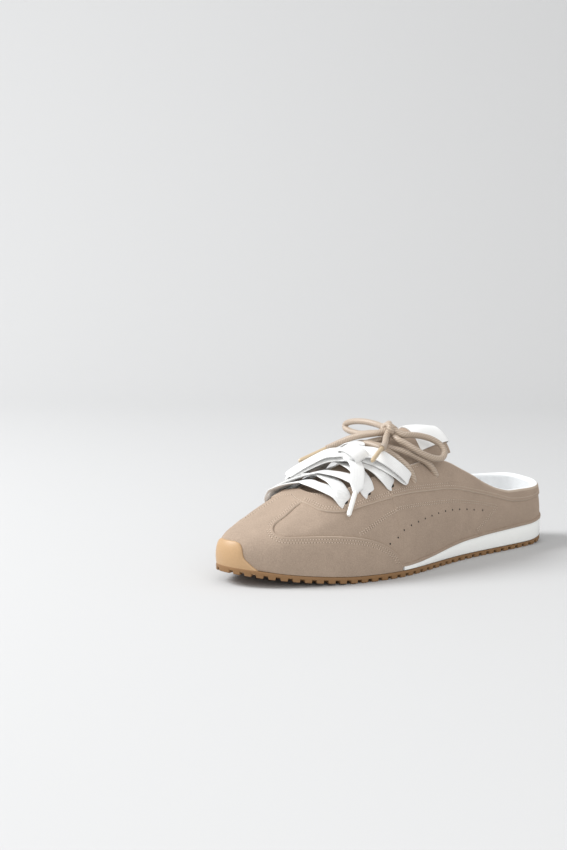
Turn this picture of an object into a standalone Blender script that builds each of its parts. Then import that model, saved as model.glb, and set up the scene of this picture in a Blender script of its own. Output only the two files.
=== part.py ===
"""A backless sneaker for the left foot: a suede upper on a gum outsole with a slim white midsole.

Lengths are millimetres until a mesh is written. s runs from the heel to the toe, a runs to the
little toe's side and z runs up. In the scene the toe points to -Y and the little toe's side to +X.
On the upper, k is the share of the way along the sole's edge from the toe to the heel, and w is
the share of the way up the rib that starts there and ends on the ridge over the instep.
"""

import math

import bmesh
import bpy
import numpy as np

MM = 0.001

# Driving sizes
LENGTH = 270.0
BALL_WIDTH = 94.0
INSTEP = 84.0
HEEL_STACK = 12.6
GUM = 4.4
LUG_DEPTH = 1.8
LUG_PITCH = 7.8
TOE_SPRING = 8.4
WALL = 2.0
OVERLAY = 0.9
COLLAR_PAD = 1.8
INSOLE = 3.5
TONGUE = 3.2
LABEL_WIDTH = 40.0
LABEL_LENGTH = 26.0
LABEL_THICK = 0.8
BUMPER = 1.3
EYELET = 4.0
FLAT_LACE_WIDTH = 10.0
FLAT_LACE_THICK = 1.3
ROUND_LACE = 4.2
FLAT_TIP = 3.2
FLAT_TIP_LENGTH = 18.0
ROUND_TIP = 3.0
ROUND_TIP_LENGTH = 20.0
CORE_HEIGHT = 20.0
GAP = 0.3

# The sole's edge: share of length from the heel, share of ball width to the little toe's side
OUTLINE = [
    (0.000, 0.020),
    (0.030, 0.225),
    (0.100, 0.295),
    (0.220, 0.325),
    (0.360, 0.360),
    (0.500, 0.445),
    (0.620, 0.505),
    (0.700, 0.490),
    (0.780, 0.440),
    (0.870, 0.330),
    (0.940, 0.200),
    (0.985, 0.050),
    (1.000, -0.090),
    (0.985, -0.230),
    (0.940, -0.320),
    (0.870, -0.430),
    (0.780, -0.500),
    (0.700, -0.510),
    (0.600, -0.455),
    (0.480, -0.350),
    (0.360, -0.300),
    (0.220, -0.310),
    (0.100, -0.285),
    (0.030, -0.190),
]

# Share of length, tread above the floor as a share of the toe spring
SPRING = [(0.0, 0.48), (0.04, 0.16), (0.10, 0.0), (0.66, 0.0), (0.74, 0.03), (0.84, 0.24), (0.93, 0.60), (1.0, 1.0)]
# Share of length, gum thickness as a share of its thickness at the toe
GUM_RUN = [(0.0, 0.68), (0.30, 0.75), (0.55, 0.89), (0.75, 0.95), (1.0, 1.0)]
# Share of length, midsole thickness as a share of the heel stack
MID_RUN = [(0.0, 1.0), (0.10, 0.97), (0.25, 0.87), (0.38, 0.69), (0.50, 0.38), (0.56, 0.26), (0.62, 0.19), (1.0, 0.19)]
# Share of length, ridge to the side as a share of ball width, ridge height as a share of the instep
RIDGE = [
    (0.00, -0.005, 1.100),
    (0.20, -0.010, 1.120),
    (0.35, -0.020, 1.080),
    (0.48, -0.035, 1.000),
    (0.58, -0.050, 0.900),
    (0.66, -0.060, 0.800),
    (0.74, -0.075, 0.685),
    (0.82, -0.090, 0.565),
    (0.90, -0.100, 0.450),
    (1.00, -0.110, 0.330),
]
# Share of length, a rib's pull up and in as shares of its height and reach, its lean out in shares of ball width
RIB = [
    (0.00, 0.42, 0.45, 0.011),
    (0.20, 0.42, 0.45, 0.021),
    (0.40, 0.45, 0.47, 0.021),
    (0.50, 0.47, 0.50, 0.021),
    (0.70, 0.55, 0.62, 0.032),
    (0.85, 0.66, 0.70, 0.036),
    (1.00, 0.75, 0.72, 0.032),
]
# How far the ribs fan in at the toe and the heel, and over what length, as shares of length
FAN_TOE = (0.126, 0.230)
FAN_HEEL = (0.111, 0.204)

# The midsole shows behind this k, and the toe piece's wings end there
WING_END = 0.409
# The tip of the side panel, between the wing and the strip over the toe: k, w
TIP = (0.105, 0.580)
# k, w of the wing's top edge
WING = [
    TIP,
    (0.110, 0.480),
    (0.130, 0.395),
    (0.174, 0.357),
    (0.229, 0.320),
    (0.291, 0.270),
    (0.340, 0.212),
    (0.374, 0.150),
    (0.399, 0.083),
    (WING_END, 0.015),
]
# k, w of the lower edge of the toe strip, then of eyestay and collar band
BAND = [
    TIP,
    (0.110, 0.655),
    (0.138, 0.740),
    (0.189, 0.823),
    (0.206, 0.745),
    (0.219, 0.645),
    (0.242, 0.562),
    (0.284, 0.505),
    (0.333, 0.492),
    (0.383, 0.478),
    (0.453, 0.445),
    (0.532, 0.395),
    (0.614, 0.345),
    (0.698, 0.275),
    (0.760, 0.220),
    (0.810, 0.178),
    (0.864, 0.165),
    (1.000, 0.168),
]
# k, w of the throat's edge and the topline, on the little toe's side and on the big toe's side
TOP = [
    (0.215, 1.000, 1.000),
    (0.221, 0.920, 0.850),
    (0.240, 0.810, 0.735),
    (0.288, 0.705, 0.690),
    (0.350, 0.690, 0.680),
    (0.416, 0.660, 0.660),
    (0.487, 0.614, 0.614),
    (0.542, 0.597, 0.597),
    (0.586, 0.570, 0.575),
    (0.621, 0.522, 0.530),
    (0.655, 0.458, 0.470),
    (0.691, 0.395, 0.415),
    (0.724, 0.333, 0.360),
    (0.768, 0.275, 0.310),
    (0.805, 0.250, 0.290),
    (0.860, 0.243, 0.280),
    (0.935, 0.234, 0.268),
    (1.000, 0.240, 0.240),
]
# k on the little toe's side, k on the big toe's side and w of the eyelets, from the throat's front
EYELETS = [
    (0.288, 0.236, 0.588),
    (0.350, 0.300, 0.575),
    (0.416, 0.370, 0.547),
    (0.487, 0.460, 0.503),
    (0.566, 0.542, 0.473),
]

# Routes over the form: k, q from the ridge to the little toe's side, height over the form
SIDE_END = [
    (0.350, 0.240, 8.0),
    (0.335, 0.315, 7.2),
    (0.318, 0.385, 6.8),
    (0.304, 0.445, 6.3),
    (0.290, 0.505, 5.4),
    (0.278, 0.560, 4.4),
]
INNER_END = [
    (0.408, 0.030, 7.4),
    (0.412, -0.080, 6.8),
    (0.408, -0.200, 5.8),
    (0.396, -0.330, 5.6),
    (0.372, -0.440, 5.8),
    (0.346, -0.550, 5.6),
]
SIDE_BOW = [
    (0.400, 0.215, 10.4),
    (0.415, 0.300, 10.2),
    (0.435, 0.395, 8.6),
    (0.452, 0.465, 6.8),
    (0.456, 0.482, 5.4),
    (0.450, 0.462, 4.4),
    (0.433, 0.392, 5.0),
    (0.414, 0.305, 5.4),
    (0.400, 0.225, 5.6),
]
TOE_BOW = [
    (0.345, 0.045, 10.6),
    (0.330, -0.040, 10.2),
    (0.303, -0.160, 8.6),
    (0.276, -0.250, 7.8),
    (0.268, -0.272, 6.9),
    (0.276, -0.255, 6.2),
    (0.303, -0.165, 6.4),
    (0.328, -0.050, 7.0),
    (0.343, 0.030, 7.2),
]
HEEL_LOOP = [
    (0.503, 0.186, 9.6),
    (0.522, 0.215, 9.3),
    (0.548, 0.250, 8.8),
    (0.573, 0.305, 8.8),
    (0.589, 0.370, 9.0),
    (0.589, 0.425, 9.0),
    (0.575, 0.450, 8.7),
    (0.557, 0.440, 8.6),
    (0.541, 0.415, 8.4),
    (0.524, 0.375, 8.2),
    (0.509, 0.320, 8.1),
    (0.498, 0.260, 8.0),
    (0.490, 0.205, 7.9),
]
AIR_LOOP = [
    (0.494, 0.008, 9.4),
    (0.497, -0.040, 9.8),
    (0.499, -0.090, 11.4),
    (0.498, -0.140, 14.5),
    (0.496, -0.190, 18.4),
    (0.493, -0.240, 22.8),
    (0.491, -0.285, 26.6),
    (0.489, -0.314, 28.2),
    (0.486, -0.326, 26.2),
    (0.485, -0.313, 22.4),
    (0.485, -0.285, 17.6),
    (0.486, -0.245, 12.8),
    (0.487, -0.200, 9.6),
    (0.487, -0.140, 7.2),
    (0.485, -0.080, 5.8),
    (0.484, -0.030, 5.4),
    (0.483, 0.004, 5.4),
]
FRONT_TAIL = [
    (0.468, 0.138, 8.6),
    (0.457, 0.168, 8.6),
    (0.437, 0.212, 9.8),
    (0.418, 0.245, 13.4),
    (0.402, 0.270, 16.4),
    (0.386, 0.290, 17.4),
    (0.366, 0.322, 17.6),
]
INNER_TAIL = [
    (0.466, 0.058, 8.8),
    (0.454, 0.022, 8.6),
    (0.440, -0.030, 8.8),
    (0.425, -0.090, 9.4),
    (0.405, -0.150, 10.0),
    (0.383, -0.200, 10.6),
    (0.353, -0.245, 11.6),
    (0.318, -0.280, 12.2),
]
# Knots: k, q, height over the form, then half sizes along the ridge, across it and up
FLAT_KNOT = (0.366, 0.130, 9.8, 8.6, 8.6, 4.8)
ROUND_KNOT = (0.492, 0.095, 10.0, 6.2, 6.0, 4.9)

# How far apart, in k, the columns on each side of a square end are
STEP = 0.002

LATERAL, MEDIAL = 0, 1


def smooth_through(rows, column=1):
    """A smooth curve through a table's rows that never swings past them."""
    table = np.array(rows, float)
    x, y = table[:, 0], table[:, column]
    h, slope = np.diff(x), np.diff(y) / np.diff(x)
    tangent = np.zeros(len(x))
    tangent[0], tangent[-1] = slope[0], slope[-1]
    for i in range(1, len(x) - 1):
        if slope[i - 1] * slope[i] > 0:
            a, b = 2 * h[i] + h[i - 1], h[i] + 2 * h[i - 1]
            tangent[i] = (a + b) / (a / slope[i - 1] + b / slope[i])

    def at(u):
        u = np.clip(u, x[0], x[-1])
        i = np.clip(np.searchsorted(x, u, side="right") - 1, 0, len(x) - 2)
        v = (u - x[i]) / h[i]
        return (
            y[i] * (1 + 2 * v) * (1 - v) ** 2
            + y[i + 1] * v**2 * (3 - 2 * v)
            + h[i] * v * (1 - v) * (tangent[i] * (1 - v) - tangent[i + 1] * v)
        )

    return at


def edge_through(rows):
    """A panel's edge from its round tip back: smooth in the root of the distance from the tip."""
    start = rows[0][0]
    at = smooth_through([(math.sqrt(k - start), w) for k, w in rows])
    return lambda k: at(np.sqrt(np.maximum(np.asarray(k, float) - start, 0)))


def closed_spline(points, samples):
    """Points on a smooth closed curve through the given ones."""
    ring = np.vstack([points, points[:1]])
    step = np.linalg.norm(np.diff(ring, axis=0), axis=1) ** 0.7
    knots = np.concatenate([[0], np.cumsum(step)])
    n = len(step)
    slope = np.diff(ring, axis=0) / step[:, None]
    system, right = np.zeros((n + 1, n + 1)), np.zeros_like(ring)
    for i in range(1, n):
        system[i, i - 1 : i + 2] = step[i - 1], 2 * (step[i - 1] + step[i]), step[i]
        right[i] = 6 * (slope[i] - slope[i - 1])
    system[0, 0], system[0, n] = 1, -1
    system[n, 0], system[n, 1] = 2 * step[0], step[0]
    system[n, n - 1], system[n, n] = step[n - 1], 2 * step[n - 1]
    right[n] = 6 * (slope[0] - slope[n - 1])
    bend = np.linalg.solve(system, right)
    u = np.linspace(0, knots[-1], samples, endpoint=False)
    i = np.clip(np.searchsorted(knots, u, side="right") - 1, 0, n - 1)
    d, w = (u - knots[i])[:, None], step[i][:, None]
    lead = slope[i] - w * (2 * bend[i] + bend[i + 1]) / 6
    return ring[i] + d * (lead + d * (bend[i] / 2 + d * (bend[i + 1] - bend[i]) / (6 * w)))


def sole_edges():
    """The sole's edge from the toe to the heel on each side: the share of the way and the points."""
    ring = closed_spline(np.array(OUTLINE) * (LENGTH, BALL_WIDTH), 1600)
    heel = int(ring[:, 0].argmin())
    ring = np.roll(ring, -heel, axis=0)
    toe = int(ring[:, 0].argmax())
    edges = []
    for line in (ring[: toe + 1][::-1], np.vstack([ring[toe:], ring[:1]])):
        along = np.concatenate([[0], np.cumsum(np.linalg.norm(np.diff(line, axis=0), axis=1))])
        edges.append((along / along[-1], line, along[-1]))
    return edges


EDGES = sole_edges()
EDGE_LENGTH = EDGES[LATERAL][2]
MIDDLE = (EDGES[LATERAL][1][:, 1].max() + EDGES[MEDIAL][1][:, 1].min()) / 2
SPRING_AT, GUM_AT, MID_AT = smooth_through(SPRING), smooth_through(GUM_RUN), smooth_through(MID_RUN)
RIDGE_SIDE, RIDGE_UP = smooth_through(RIDGE), smooth_through(RIDGE, 2)
PULL_UP, PULL_IN, LEAN = smooth_through(RIB), smooth_through(RIB, 2), smooth_through(RIB, 3)
WING_AT, BAND_AT = edge_through(WING), edge_through(BAND)
TOP_AT = (smooth_through(TOP), smooth_through(TOP, 2))
THROAT = TOP[0][0]


def edge_at(side, k):
    """Points on the sole's edge and the level directions from them into the shoe."""
    along, line, _ = EDGES[side]
    k = np.asarray(k, float)
    point = np.stack([np.interp(k, along, line[:, i]) for i in (0, 1)], -1)
    near, far = np.clip(k - 0.001, 0, 1), np.clip(k + 0.001, 0, 1)
    run = np.stack([np.interp(far, along, line[:, i]) - np.interp(near, along, line[:, i]) for i in (0, 1)], -1)
    turn = 1 if side == LATERAL else -1
    run[k <= 0], run[k >= 1] = (0, turn), (0, -turn)
    run /= np.linalg.norm(run, axis=-1, keepdims=True)
    return point, turn * np.stack([-run[:, 1], run[:, 0]], -1)


def tread_z(s):
    return SPRING_AT(s / LENGTH) * TOE_SPRING


def gum_top(s):
    return tread_z(s) + GUM_AT(s / LENGTH) * GUM


def midsole_top(s):
    return gum_top(s) + MID_AT(s / LENGTH) * HEEL_STACK


def upper_inset(k):
    """How far the upper's wall stands in from the sole's edge."""
    at_toe = OVERLAY + BUMPER + 2 * GAP - 0.2
    return np.interp(k, [0.0, 0.09, 0.13, 0.38, 0.46, 1.0], [at_toe, at_toe, 1.4, 1.4, 0.6, 0.3])


def ridge_point(k):
    """Where the ribs of both sides that start at k meet."""
    s = (edge_at(LATERAL, k)[0][:, 0] + edge_at(MEDIAL, k)[0][:, 0]) / 2
    toe, heel = np.array(FAN_TOE) * LENGTH, np.array(FAN_HEEL) * LENGTH
    s = s - toe[0] * np.exp(-(LENGTH - s) / toe[1]) + heel[0] * np.exp(-s / heel[1])
    return np.stack([s, RIDGE_SIDE(s / LENGTH) * BALL_WIDTH, RIDGE_UP(s / LENGTH) * INSTEP], -1)


def ridge_normal(ridge):
    """Up out of the form along its ridge, square to the ridge and level across it."""
    u, e = ridge[:, 0] / LENGTH, 0.01
    side = (RIDGE_SIDE(u + e) - RIDGE_SIDE(u - e)) * BALL_WIDTH
    up = (RIDGE_UP(u + e) - RIDGE_UP(u - e)) * INSTEP
    normal = np.cross(np.column_stack([np.full_like(u, -2 * e * LENGTH), -side, -up]), (0.0, 1.0, 0.0))
    normal *= np.sign(normal[:, 2:])
    return normal / np.linalg.norm(normal, axis=1, keepdims=True)


def form(side, k, w):
    """The last's surface at each k and its row of w: an array of (s, a, z)."""
    k = np.asarray(k, float)
    w = np.asarray(w, float)[..., None]
    edge, inward = edge_at(side, k)
    t = edge[:, 0] / LENGTH
    foot = edge + inward * upper_inset(k)[:, None]
    foot_z = np.where(k < WING_END, gum_top(edge[:, 0]), midsole_top(edge[:, 0])) + GAP
    foot = np.column_stack([foot, foot_z])
    ridge = ridge_point(k)
    rise = ridge[:, 2] - foot_z
    knee = foot + np.column_stack([-inward * (LEAN(t) * BALL_WIDTH)[:, None], PULL_UP(t) * rise])
    normal = ridge_normal(ridge)
    level = (ridge - foot) * (1, 1, 0)
    reach = np.linalg.norm(level, axis=1, keepdims=True)
    level /= reach
    level = level - (level * normal).sum(1, keepdims=True) * normal
    level /= np.linalg.norm(level, axis=1, keepdims=True)
    shoulder = ridge - level * reach * PULL_IN(t)[:, None]
    a, b, c, d = (p[:, None] for p in (foot, knee, shoulder, ridge))
    return (1 - w) ** 3 * a + 3 * (1 - w) ** 2 * w * b + 3 * (1 - w) * w**2 * c + w**3 * d


def form_normals(side, k, w):
    """Directions out of the form, the same from both sides where they meet."""
    def one_side(which):
        e = 0.002
        near, far = np.clip(k - e, 0, 1), np.clip(k + e, 0, 1)
        along = form(which, far, w) - form(which, near, w)
        up = form(which, k, np.minimum(w + e, 1)) - form(which, k, w - e)
        out = np.cross(along, up) if which == LATERAL else np.cross(up, along)
        return out / np.maximum(np.linalg.norm(out, axis=-1, keepdims=True), 1e-12)

    k, w = np.asarray(k, float), np.asarray(w, float)
    ends = (k <= 0) | (k >= 1)
    out = one_side(side)
    out = np.where(ends[:, None, None], out + one_side(1 - side), out)
    out = np.where((w >= 1 - 1e-9)[..., None], ridge_normal(ridge_point(k))[:, None], out)
    return out / np.linalg.norm(out, axis=-1, keepdims=True)


def overlay(side, k, w):
    """One where the toe piece, eyestay or collar band lies over the side panel, zero beside them."""
    girth = np.linalg.norm(np.diff(form(side, k, np.tile(np.linspace(0, 1, 9), (len(k), 1))), axis=1), axis=2).sum(1)
    k = k[:, None]
    past = np.maximum(TIP[0] - k, 0) * 9
    over = np.maximum(WING_AT(k) + past - w, w - BAND_AT(k) + past) * girth[:, None]
    v = np.clip((over + OVERLAY / 2) / OVERLAY, 0, 1)
    return v * v * (3 - 2 * v)


def world(points):
    """Metres in the scene from (s, a, z) in millimetres."""
    points = np.asarray(points, float)
    return np.stack([points[..., 1] - MIDDLE, LENGTH / 2 - points[..., 0], points[..., 2]], -1) * MM


def on_form(k, q, lift):
    """Points over the form: q is the share of the rib past the ridge, positive to the little toe's side."""
    k, q, lift = np.broadcast_arrays(*(np.asarray(v, float) for v in (k, q, lift)))
    points = np.zeros(k.shape + (3,))
    for side in (LATERAL, MEDIAL):
        here = q >= 0 if side == LATERAL else q < 0
        if here.any():
            w = (1 - np.abs(q[here]))[:, None]
            base, out = form(side, k[here], w)[:, 0], form_normals(side, k[here], w)[:, 0]
            points[here] = base + out * lift[here][:, None]
    return points


class Solid:
    """Collects grids of points into one closed mesh."""

    def __init__(self):
        self.points, self.faces = [], []

    def grid(self, points):
        """Adds the quads of a grid of points and returns their numbers."""
        rows, columns = points.shape[:2]
        start = len(self.points)
        self.points.extend(points.reshape(-1, 3))
        number = start + np.arange(rows * columns).reshape(rows, columns)
        self.strip_rows(number)
        return number

    def strip_rows(self, number):
        for a, b in zip(number[:-1], number[1:]):
            self.strip(a, b)

    def strip(self, first, second):
        for i in range(len(first) - 1):
            self.faces.append((first[i], first[i + 1], second[i + 1], second[i]))

    def build(self, name, colour, roughness=0.8, weld=0.002, smooth=40):
        mesh = bpy.data.meshes.new(name)
        mesh.from_pydata([tuple(p) for p in world(np.array(self.points))], [], [tuple(map(int, f)) for f in self.faces])
        work = bmesh.new()
        work.from_mesh(mesh)
        bmesh.ops.remove_doubles(work, verts=work.verts, dist=weld * MM)
        bmesh.ops.dissolve_degenerate(work, edges=work.edges, dist=weld * MM)
        bmesh.ops.triangulate(work, faces=work.faces)
        bmesh.ops.recalc_face_normals(work, faces=work.faces)
        if work.calc_volume(signed=True) < 0:
            bmesh.ops.reverse_faces(work, faces=work.faces)
        work.to_mesh(mesh)
        work.free()
        return add_object(name, mesh, colour, roughness, smooth)


def add_object(name, mesh, colour, roughness, smooth=40):
    thing = bpy.data.objects.new(name, mesh)
    bpy.context.scene.collection.objects.link(thing)
    mesh.materials.append(material(name, colour, roughness))
    mesh.shade_smooth()
    mesh.set_sharp_from_angle(angle=math.radians(smooth))
    return thing


def material(name, colour, roughness):
    made = bpy.data.materials.new(name)
    made.use_nodes = True
    shader = made.node_tree.nodes["Principled BSDF"]
    shader.inputs["Base Color"].default_value = (*colour, 1)
    shader.inputs["Roughness"].default_value = roughness
    shader.inputs["Metallic"].default_value = 0.0
    made.diffuse_color = (*colour, 1)
    return made


SUEDE = (0.36, 0.29, 0.23)
GUM_TAN = (0.55, 0.33, 0.15)
WHITE = (0.80, 0.80, 0.78)
CREAM = (0.84, 0.84, 0.81)
TAUPE_CORD = (0.46, 0.36, 0.28)


def shell(outer, inner):
    """A closed solid between two grids of the same shape."""
    solid = Solid()
    a, b = solid.grid(outer), solid.grid(inner)
    solid.strip(a[0], b[0])
    solid.strip(a[-1], b[-1])
    solid.strip(a[:, 0], b[:, 0])
    solid.strip(a[:, -1], b[:, -1])
    return solid


def columns():
    """The upper's k values, closer together at the toe, the heel and the throat's front."""
    even = np.linspace(0, 1, 39)
    extra = [0.013, 0.10, 0.11, 0.12, 0.20, THROAT, 0.222, 0.229, 0.25, WING_END - STEP, WING_END + STEP * 0.9, 0.99]
    keep = [k for k in even if min(abs(k - e) for e in extra) > 0.007]
    return np.array(sorted(keep + extra))


def spread(w, least=0.006):
    """Pushes each column's rows apart, without moving the first and last."""
    for j in range(1, w.shape[1] - 1):
        w[:, j] = np.maximum(w[:, j], w[:, j - 1] + least)
    for j in range(w.shape[1] - 2, 0, -1):
        w[:, j] = np.minimum(w[:, j], w[:, j + 1] - least)
    return w


def outer_rows(side, k):
    """The outer wall's w values at each k, with a pair at each overlay's edge."""
    top = np.where(k <= THROAT, 1.0, TOP_AT[side](k))
    wing, band = WING_AT(k), BAND_AT(k)
    low, high = np.minimum(wing, band), np.minimum(np.maximum(wing, band), top - 0.03)
    half = 0.008
    rows = [
        0 * k,
        low * 0.5,
        low - half,
        low + half,
        low + (high - low) * 0.35,
        low + (high - low) * 0.70,
        high - half,
        high + half,
        high + (top - high) * 0.35,
        high + (top - high) * 0.70,
        top,
    ]
    return spread(np.stack(rows, -1))


def inner_rows(side, k):
    top = np.where(k <= THROAT, 1.0, TOP_AT[side](k))
    return top[:, None] * np.array([0, 0.15, 0.3, 0.45, 0.6, 0.75, 0.88, 1.0])


def wall(k, w, top):
    """The wall's thickness, padded along the collar behind the throat."""
    behind = np.clip((k[:, None] - 0.60) / 0.12, 0, 1)
    near_top = np.clip(1 - (top[:, None] - w) / 0.14, 0, 1)
    return WALL + COLLAR_PAD * behind * near_top


def make_upper():
    solid = Solid()
    k = columns()
    for side in (LATERAL, MEDIAL):
        w = outer_rows(side, k)
        raised = OVERLAY * overlay(side, k, w)
        outer = form(side, k, w) + form_normals(side, k, w) * raised[..., None]
        v = inner_rows(side, k)
        inner = form(side, k, v) - form_normals(side, k, v) * wall(k, v, v[:, -1])[..., None]
        a, b = solid.grid(outer), solid.grid(inner)
        solid.strip(a[:, 0], b[:, 0])
        open_from = int(np.searchsorted(k, THROAT))
        solid.strip(a[open_from:, -1], b[open_from:, -1])
    return solid.build("upper", SUEDE, 0.95)


def lug_stations():
    """k at the corners of the treads and grooves, and one where the corner is in a groove."""
    count = round(EDGE_LENGTH / LUG_PITCH)
    k, groove = [0.0], [0]
    for i in range(count):
        for share, low in ((0.06, 0), (0.68, 0), (0.72, 1), (1.02, 1)):
            place = (i + share) / count
            if 0.004 < place < 0.996:
                k.append(place)
                groove.append(low)
    return np.array(k + [1.0]), np.array(groove + [0])


def slab_rows(k, rings):
    """Rings of points around the slab at each k, from (side, inset, height over s) rows."""
    grid = np.zeros((len(k), len(rings), 3))
    for j, (side, inset, height) in enumerate(rings):
        edge, inward = edge_at(side, k)
        point = edge + inward * np.broadcast_to(inset, k.shape)[:, None]
        grid[:, j] = np.column_stack([point, height(edge[:, 0])])
    return grid


def slab(k, rings):
    """A closed slab from the toe to the heel with the given section."""
    solid = Solid()
    number = solid.grid(slab_rows(k, rings))
    solid.strip(number[:, -1], number[:, 0])
    return solid


def make_outsole():
    k, groove = lug_stations()

    def tread(s):
        return tread_z(s) + LUG_DEPTH * groove

    def step(s):
        return tread_z(s) + LUG_DEPTH + 0.4

    rings = [
        (LATERAL, 0.2, gum_top),
        (LATERAL, 0.0, step),
        (LATERAL, 0.5, tread),
        (MEDIAL, 0.5, tread),
        (MEDIAL, 0.0, step),
        (MEDIAL, 0.2, gum_top),
    ]
    closed_k = np.clip(k, 0.0, 1.0)
    sole = slab(closed_k, rings).build("outsole", GUM_TAN, 0.6)
    join(sole, [make_bumper()])
    return sole


def make_bumper():
    """The gum that curls up over the toe, wider at its foot, its own depth over the toe piece."""
    reach = smooth_through([(0.0, 0.092), (0.2, 0.066), (0.4, 0.050), (0.75, 0.043), (0.92, 0.036), (1.0, 0.024)])
    rise, foot = 0.335, -0.035
    up = np.array([0.0, 0.08, 0.2, 0.4, 0.6, 0.78, 0.92, 1.0])
    across = np.linspace(-1, 1, 13)
    w = np.broadcast_to((foot + up * (rise - foot))[:, None], (len(up), len(across)))
    k = np.abs(across)[None, :] * reach(up)[:, None]
    low = OVERLAY + GAP
    arch = 1 - 0.55 * np.abs(across) ** 6
    outer, inner = (
        np.stack([on_form(k[i], np.where(across >= 0, 1, -1) * (1 - w[i]), lift) for i in range(len(up))])
        for lift in (low + BUMPER * arch, low)
    )
    return shell(outer, inner).build("toe_bumper", GUM_TAN, 0.6)


def join(body, others, operation="UNION"):
    """Applies a Boolean of each other object to the body and removes them."""
    for other in others:
        cut = body.modifiers.new(other.name, "BOOLEAN")
        cut.operation = operation
        cut.solver = "EXACT"
        cut.object = other
        graph = bpy.context.evaluated_depsgraph_get()
        mesh = bpy.data.meshes.new_from_object(body.evaluated_get(graph))
        body.modifiers.clear()
        body.data = mesh
        bpy.data.objects.remove(other)


def make_midsole():
    """The white wedge under the heel, thin and set in under the forefoot."""
    front, end = WING_END + STEP, WING_END + 2 * STEP
    k = np.array(sorted([*np.linspace(0, 1, 41), front, end]))
    behind = np.clip((k - front) / (end - front), 0, 1)
    inset = (upper_inset(k) + WALL + 2 * GAP) * (1 - behind) + 0.2 * behind

    def low(s):
        return gum_top(s) + GAP

    def waist(s):
        return midsole_top(s) * 0.45 + gum_top(s) * 0.55

    rings = [
        (LATERAL, inset, midsole_top),
        (LATERAL, inset - 0.15, waist),
        (LATERAL, inset, low),
        (MEDIAL, inset, low),
        (MEDIAL, inset - 0.15, waist),
        (MEDIAL, inset, midsole_top),
    ]
    return slab(k, rings).build("midsole", WHITE, 0.55)


def make_insole():
    """The footbed, its edge raised a little against the wall."""
    k = np.linspace(0, 1, 37)
    inset = upper_inset(k) + WALL + 2 * GAP

    def low(s):
        return midsole_top(s) + GAP

    def edge_top(s):
        return midsole_top(s) + GAP + INSOLE

    def bed_top(s):
        return midsole_top(s) + GAP + INSOLE * 0.72

    rings = [
        (LATERAL, inset + 1.0, low),
        (LATERAL, inset, edge_top),
        (LATERAL, inset + 7.0 * np.sin(np.pi * k) ** 0.5, bed_top),
        (MEDIAL, inset + 7.0 * np.sin(np.pi * k) ** 0.5, bed_top),
        (MEDIAL, inset, edge_top),
        (MEDIAL, inset + 1.0, low),
    ]
    return slab(k, rings).build("insole", CREAM, 0.9)


# k, half width of the tongue as a share of the rib, its face over the eyestay's inner face, its hump
TONGUE_RUN = [
    (0.212, 0.30, -0.3, 0.0),
    (0.250, 0.36, -0.3, 0.0),
    (0.350, 0.38, -0.3, 0.0),
    (0.490, 0.42, -0.3, 0.0),
    (0.520, 0.43, -0.3, 2.6),
    (0.550, 0.43, -0.3, 5.0),
    (0.580, 0.42, 0.0, 3.8),
    (0.610, 0.42, 0.3, 1.6),
    (0.656, 0.41, 0.3, -2.0),
]
TONGUE_HALF, TONGUE_LIFT, TONGUE_HUMP = (smooth_through(TONGUE_RUN, column) for column in (1, 2, 3))
TONGUE_FROM, TONGUE_TO = TONGUE_RUN[0][0], TONGUE_RUN[-1][0]


def tongue_lift(k, q):
    """The height of the tongue's outer face over the form, humped along its middle at the end."""
    hump = np.clip(1 - (q / 0.42) ** 2, 0, 1) ** 2
    return TONGUE_LIFT(k) - WALL - 2 * GAP + TONGUE_HUMP(k) * hump


def make_tongue():
    k = np.linspace(TONGUE_FROM, TONGUE_TO, 13)
    across = np.linspace(-1, 1, 11)
    outer, inner = [], []
    for row in k:
        q = across * TONGUE_HALF(row)
        lift = tongue_lift(np.full_like(q, row), q)
        thick = TONGUE * (1 - 0.45 * np.abs(across) ** 4)
        outer.append(on_form(row, q, lift))
        inner.append(on_form(row, q, lift - thick))
    return shell(np.array(outer), np.array(inner)).build("tongue", SUEDE, 0.95)


def make_label():
    """The white label, folded over the tongue's end and caught under it."""
    far = TONGUE_TO
    steps = np.linspace(0, 0.5, 26)
    girth = np.linalg.norm(np.diff(on_form(far, steps, 0), axis=0), axis=1).cumsum()
    half = np.interp(LABEL_WIDTH / 2, girth, steps[1:])
    per_mm = (far - 0.6) / np.linalg.norm(on_form(far, 0, 0) - on_form(0.6, 0, 0))
    front, fold, back = far - LABEL_LENGTH * per_mm, far + 1.4 * per_mm, far - 8.0 * per_mm
    over, under = GAP, -TONGUE - GAP
    top = [(k, over) for k in np.linspace(front, far, 5)]
    inside = top + [(fold, -TONGUE / 2), (far, under), (back, under)]
    thick = LABEL_THICK
    shift = [(0, thick)] * 4 + [(0.3, thick), (thick, 0), (0.3, -thick), (0, -thick)]
    outside = [(k + more * per_mm, up + rise) for (k, up), (more, rise) in zip(inside, shift)]
    q = np.linspace(-1, 1, 9) * half
    grids = []
    for profile in (outside, inside):
        seats = [tongue_lift(np.full_like(q, min(k, far)), q) for k, _ in profile]
        grids.append(np.array([on_form(k, q, seat + up) for seat, (k, up) in zip(seats, profile)]))
    return shell(*grids).build("tongue_label", WHITE, 0.7)


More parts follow.
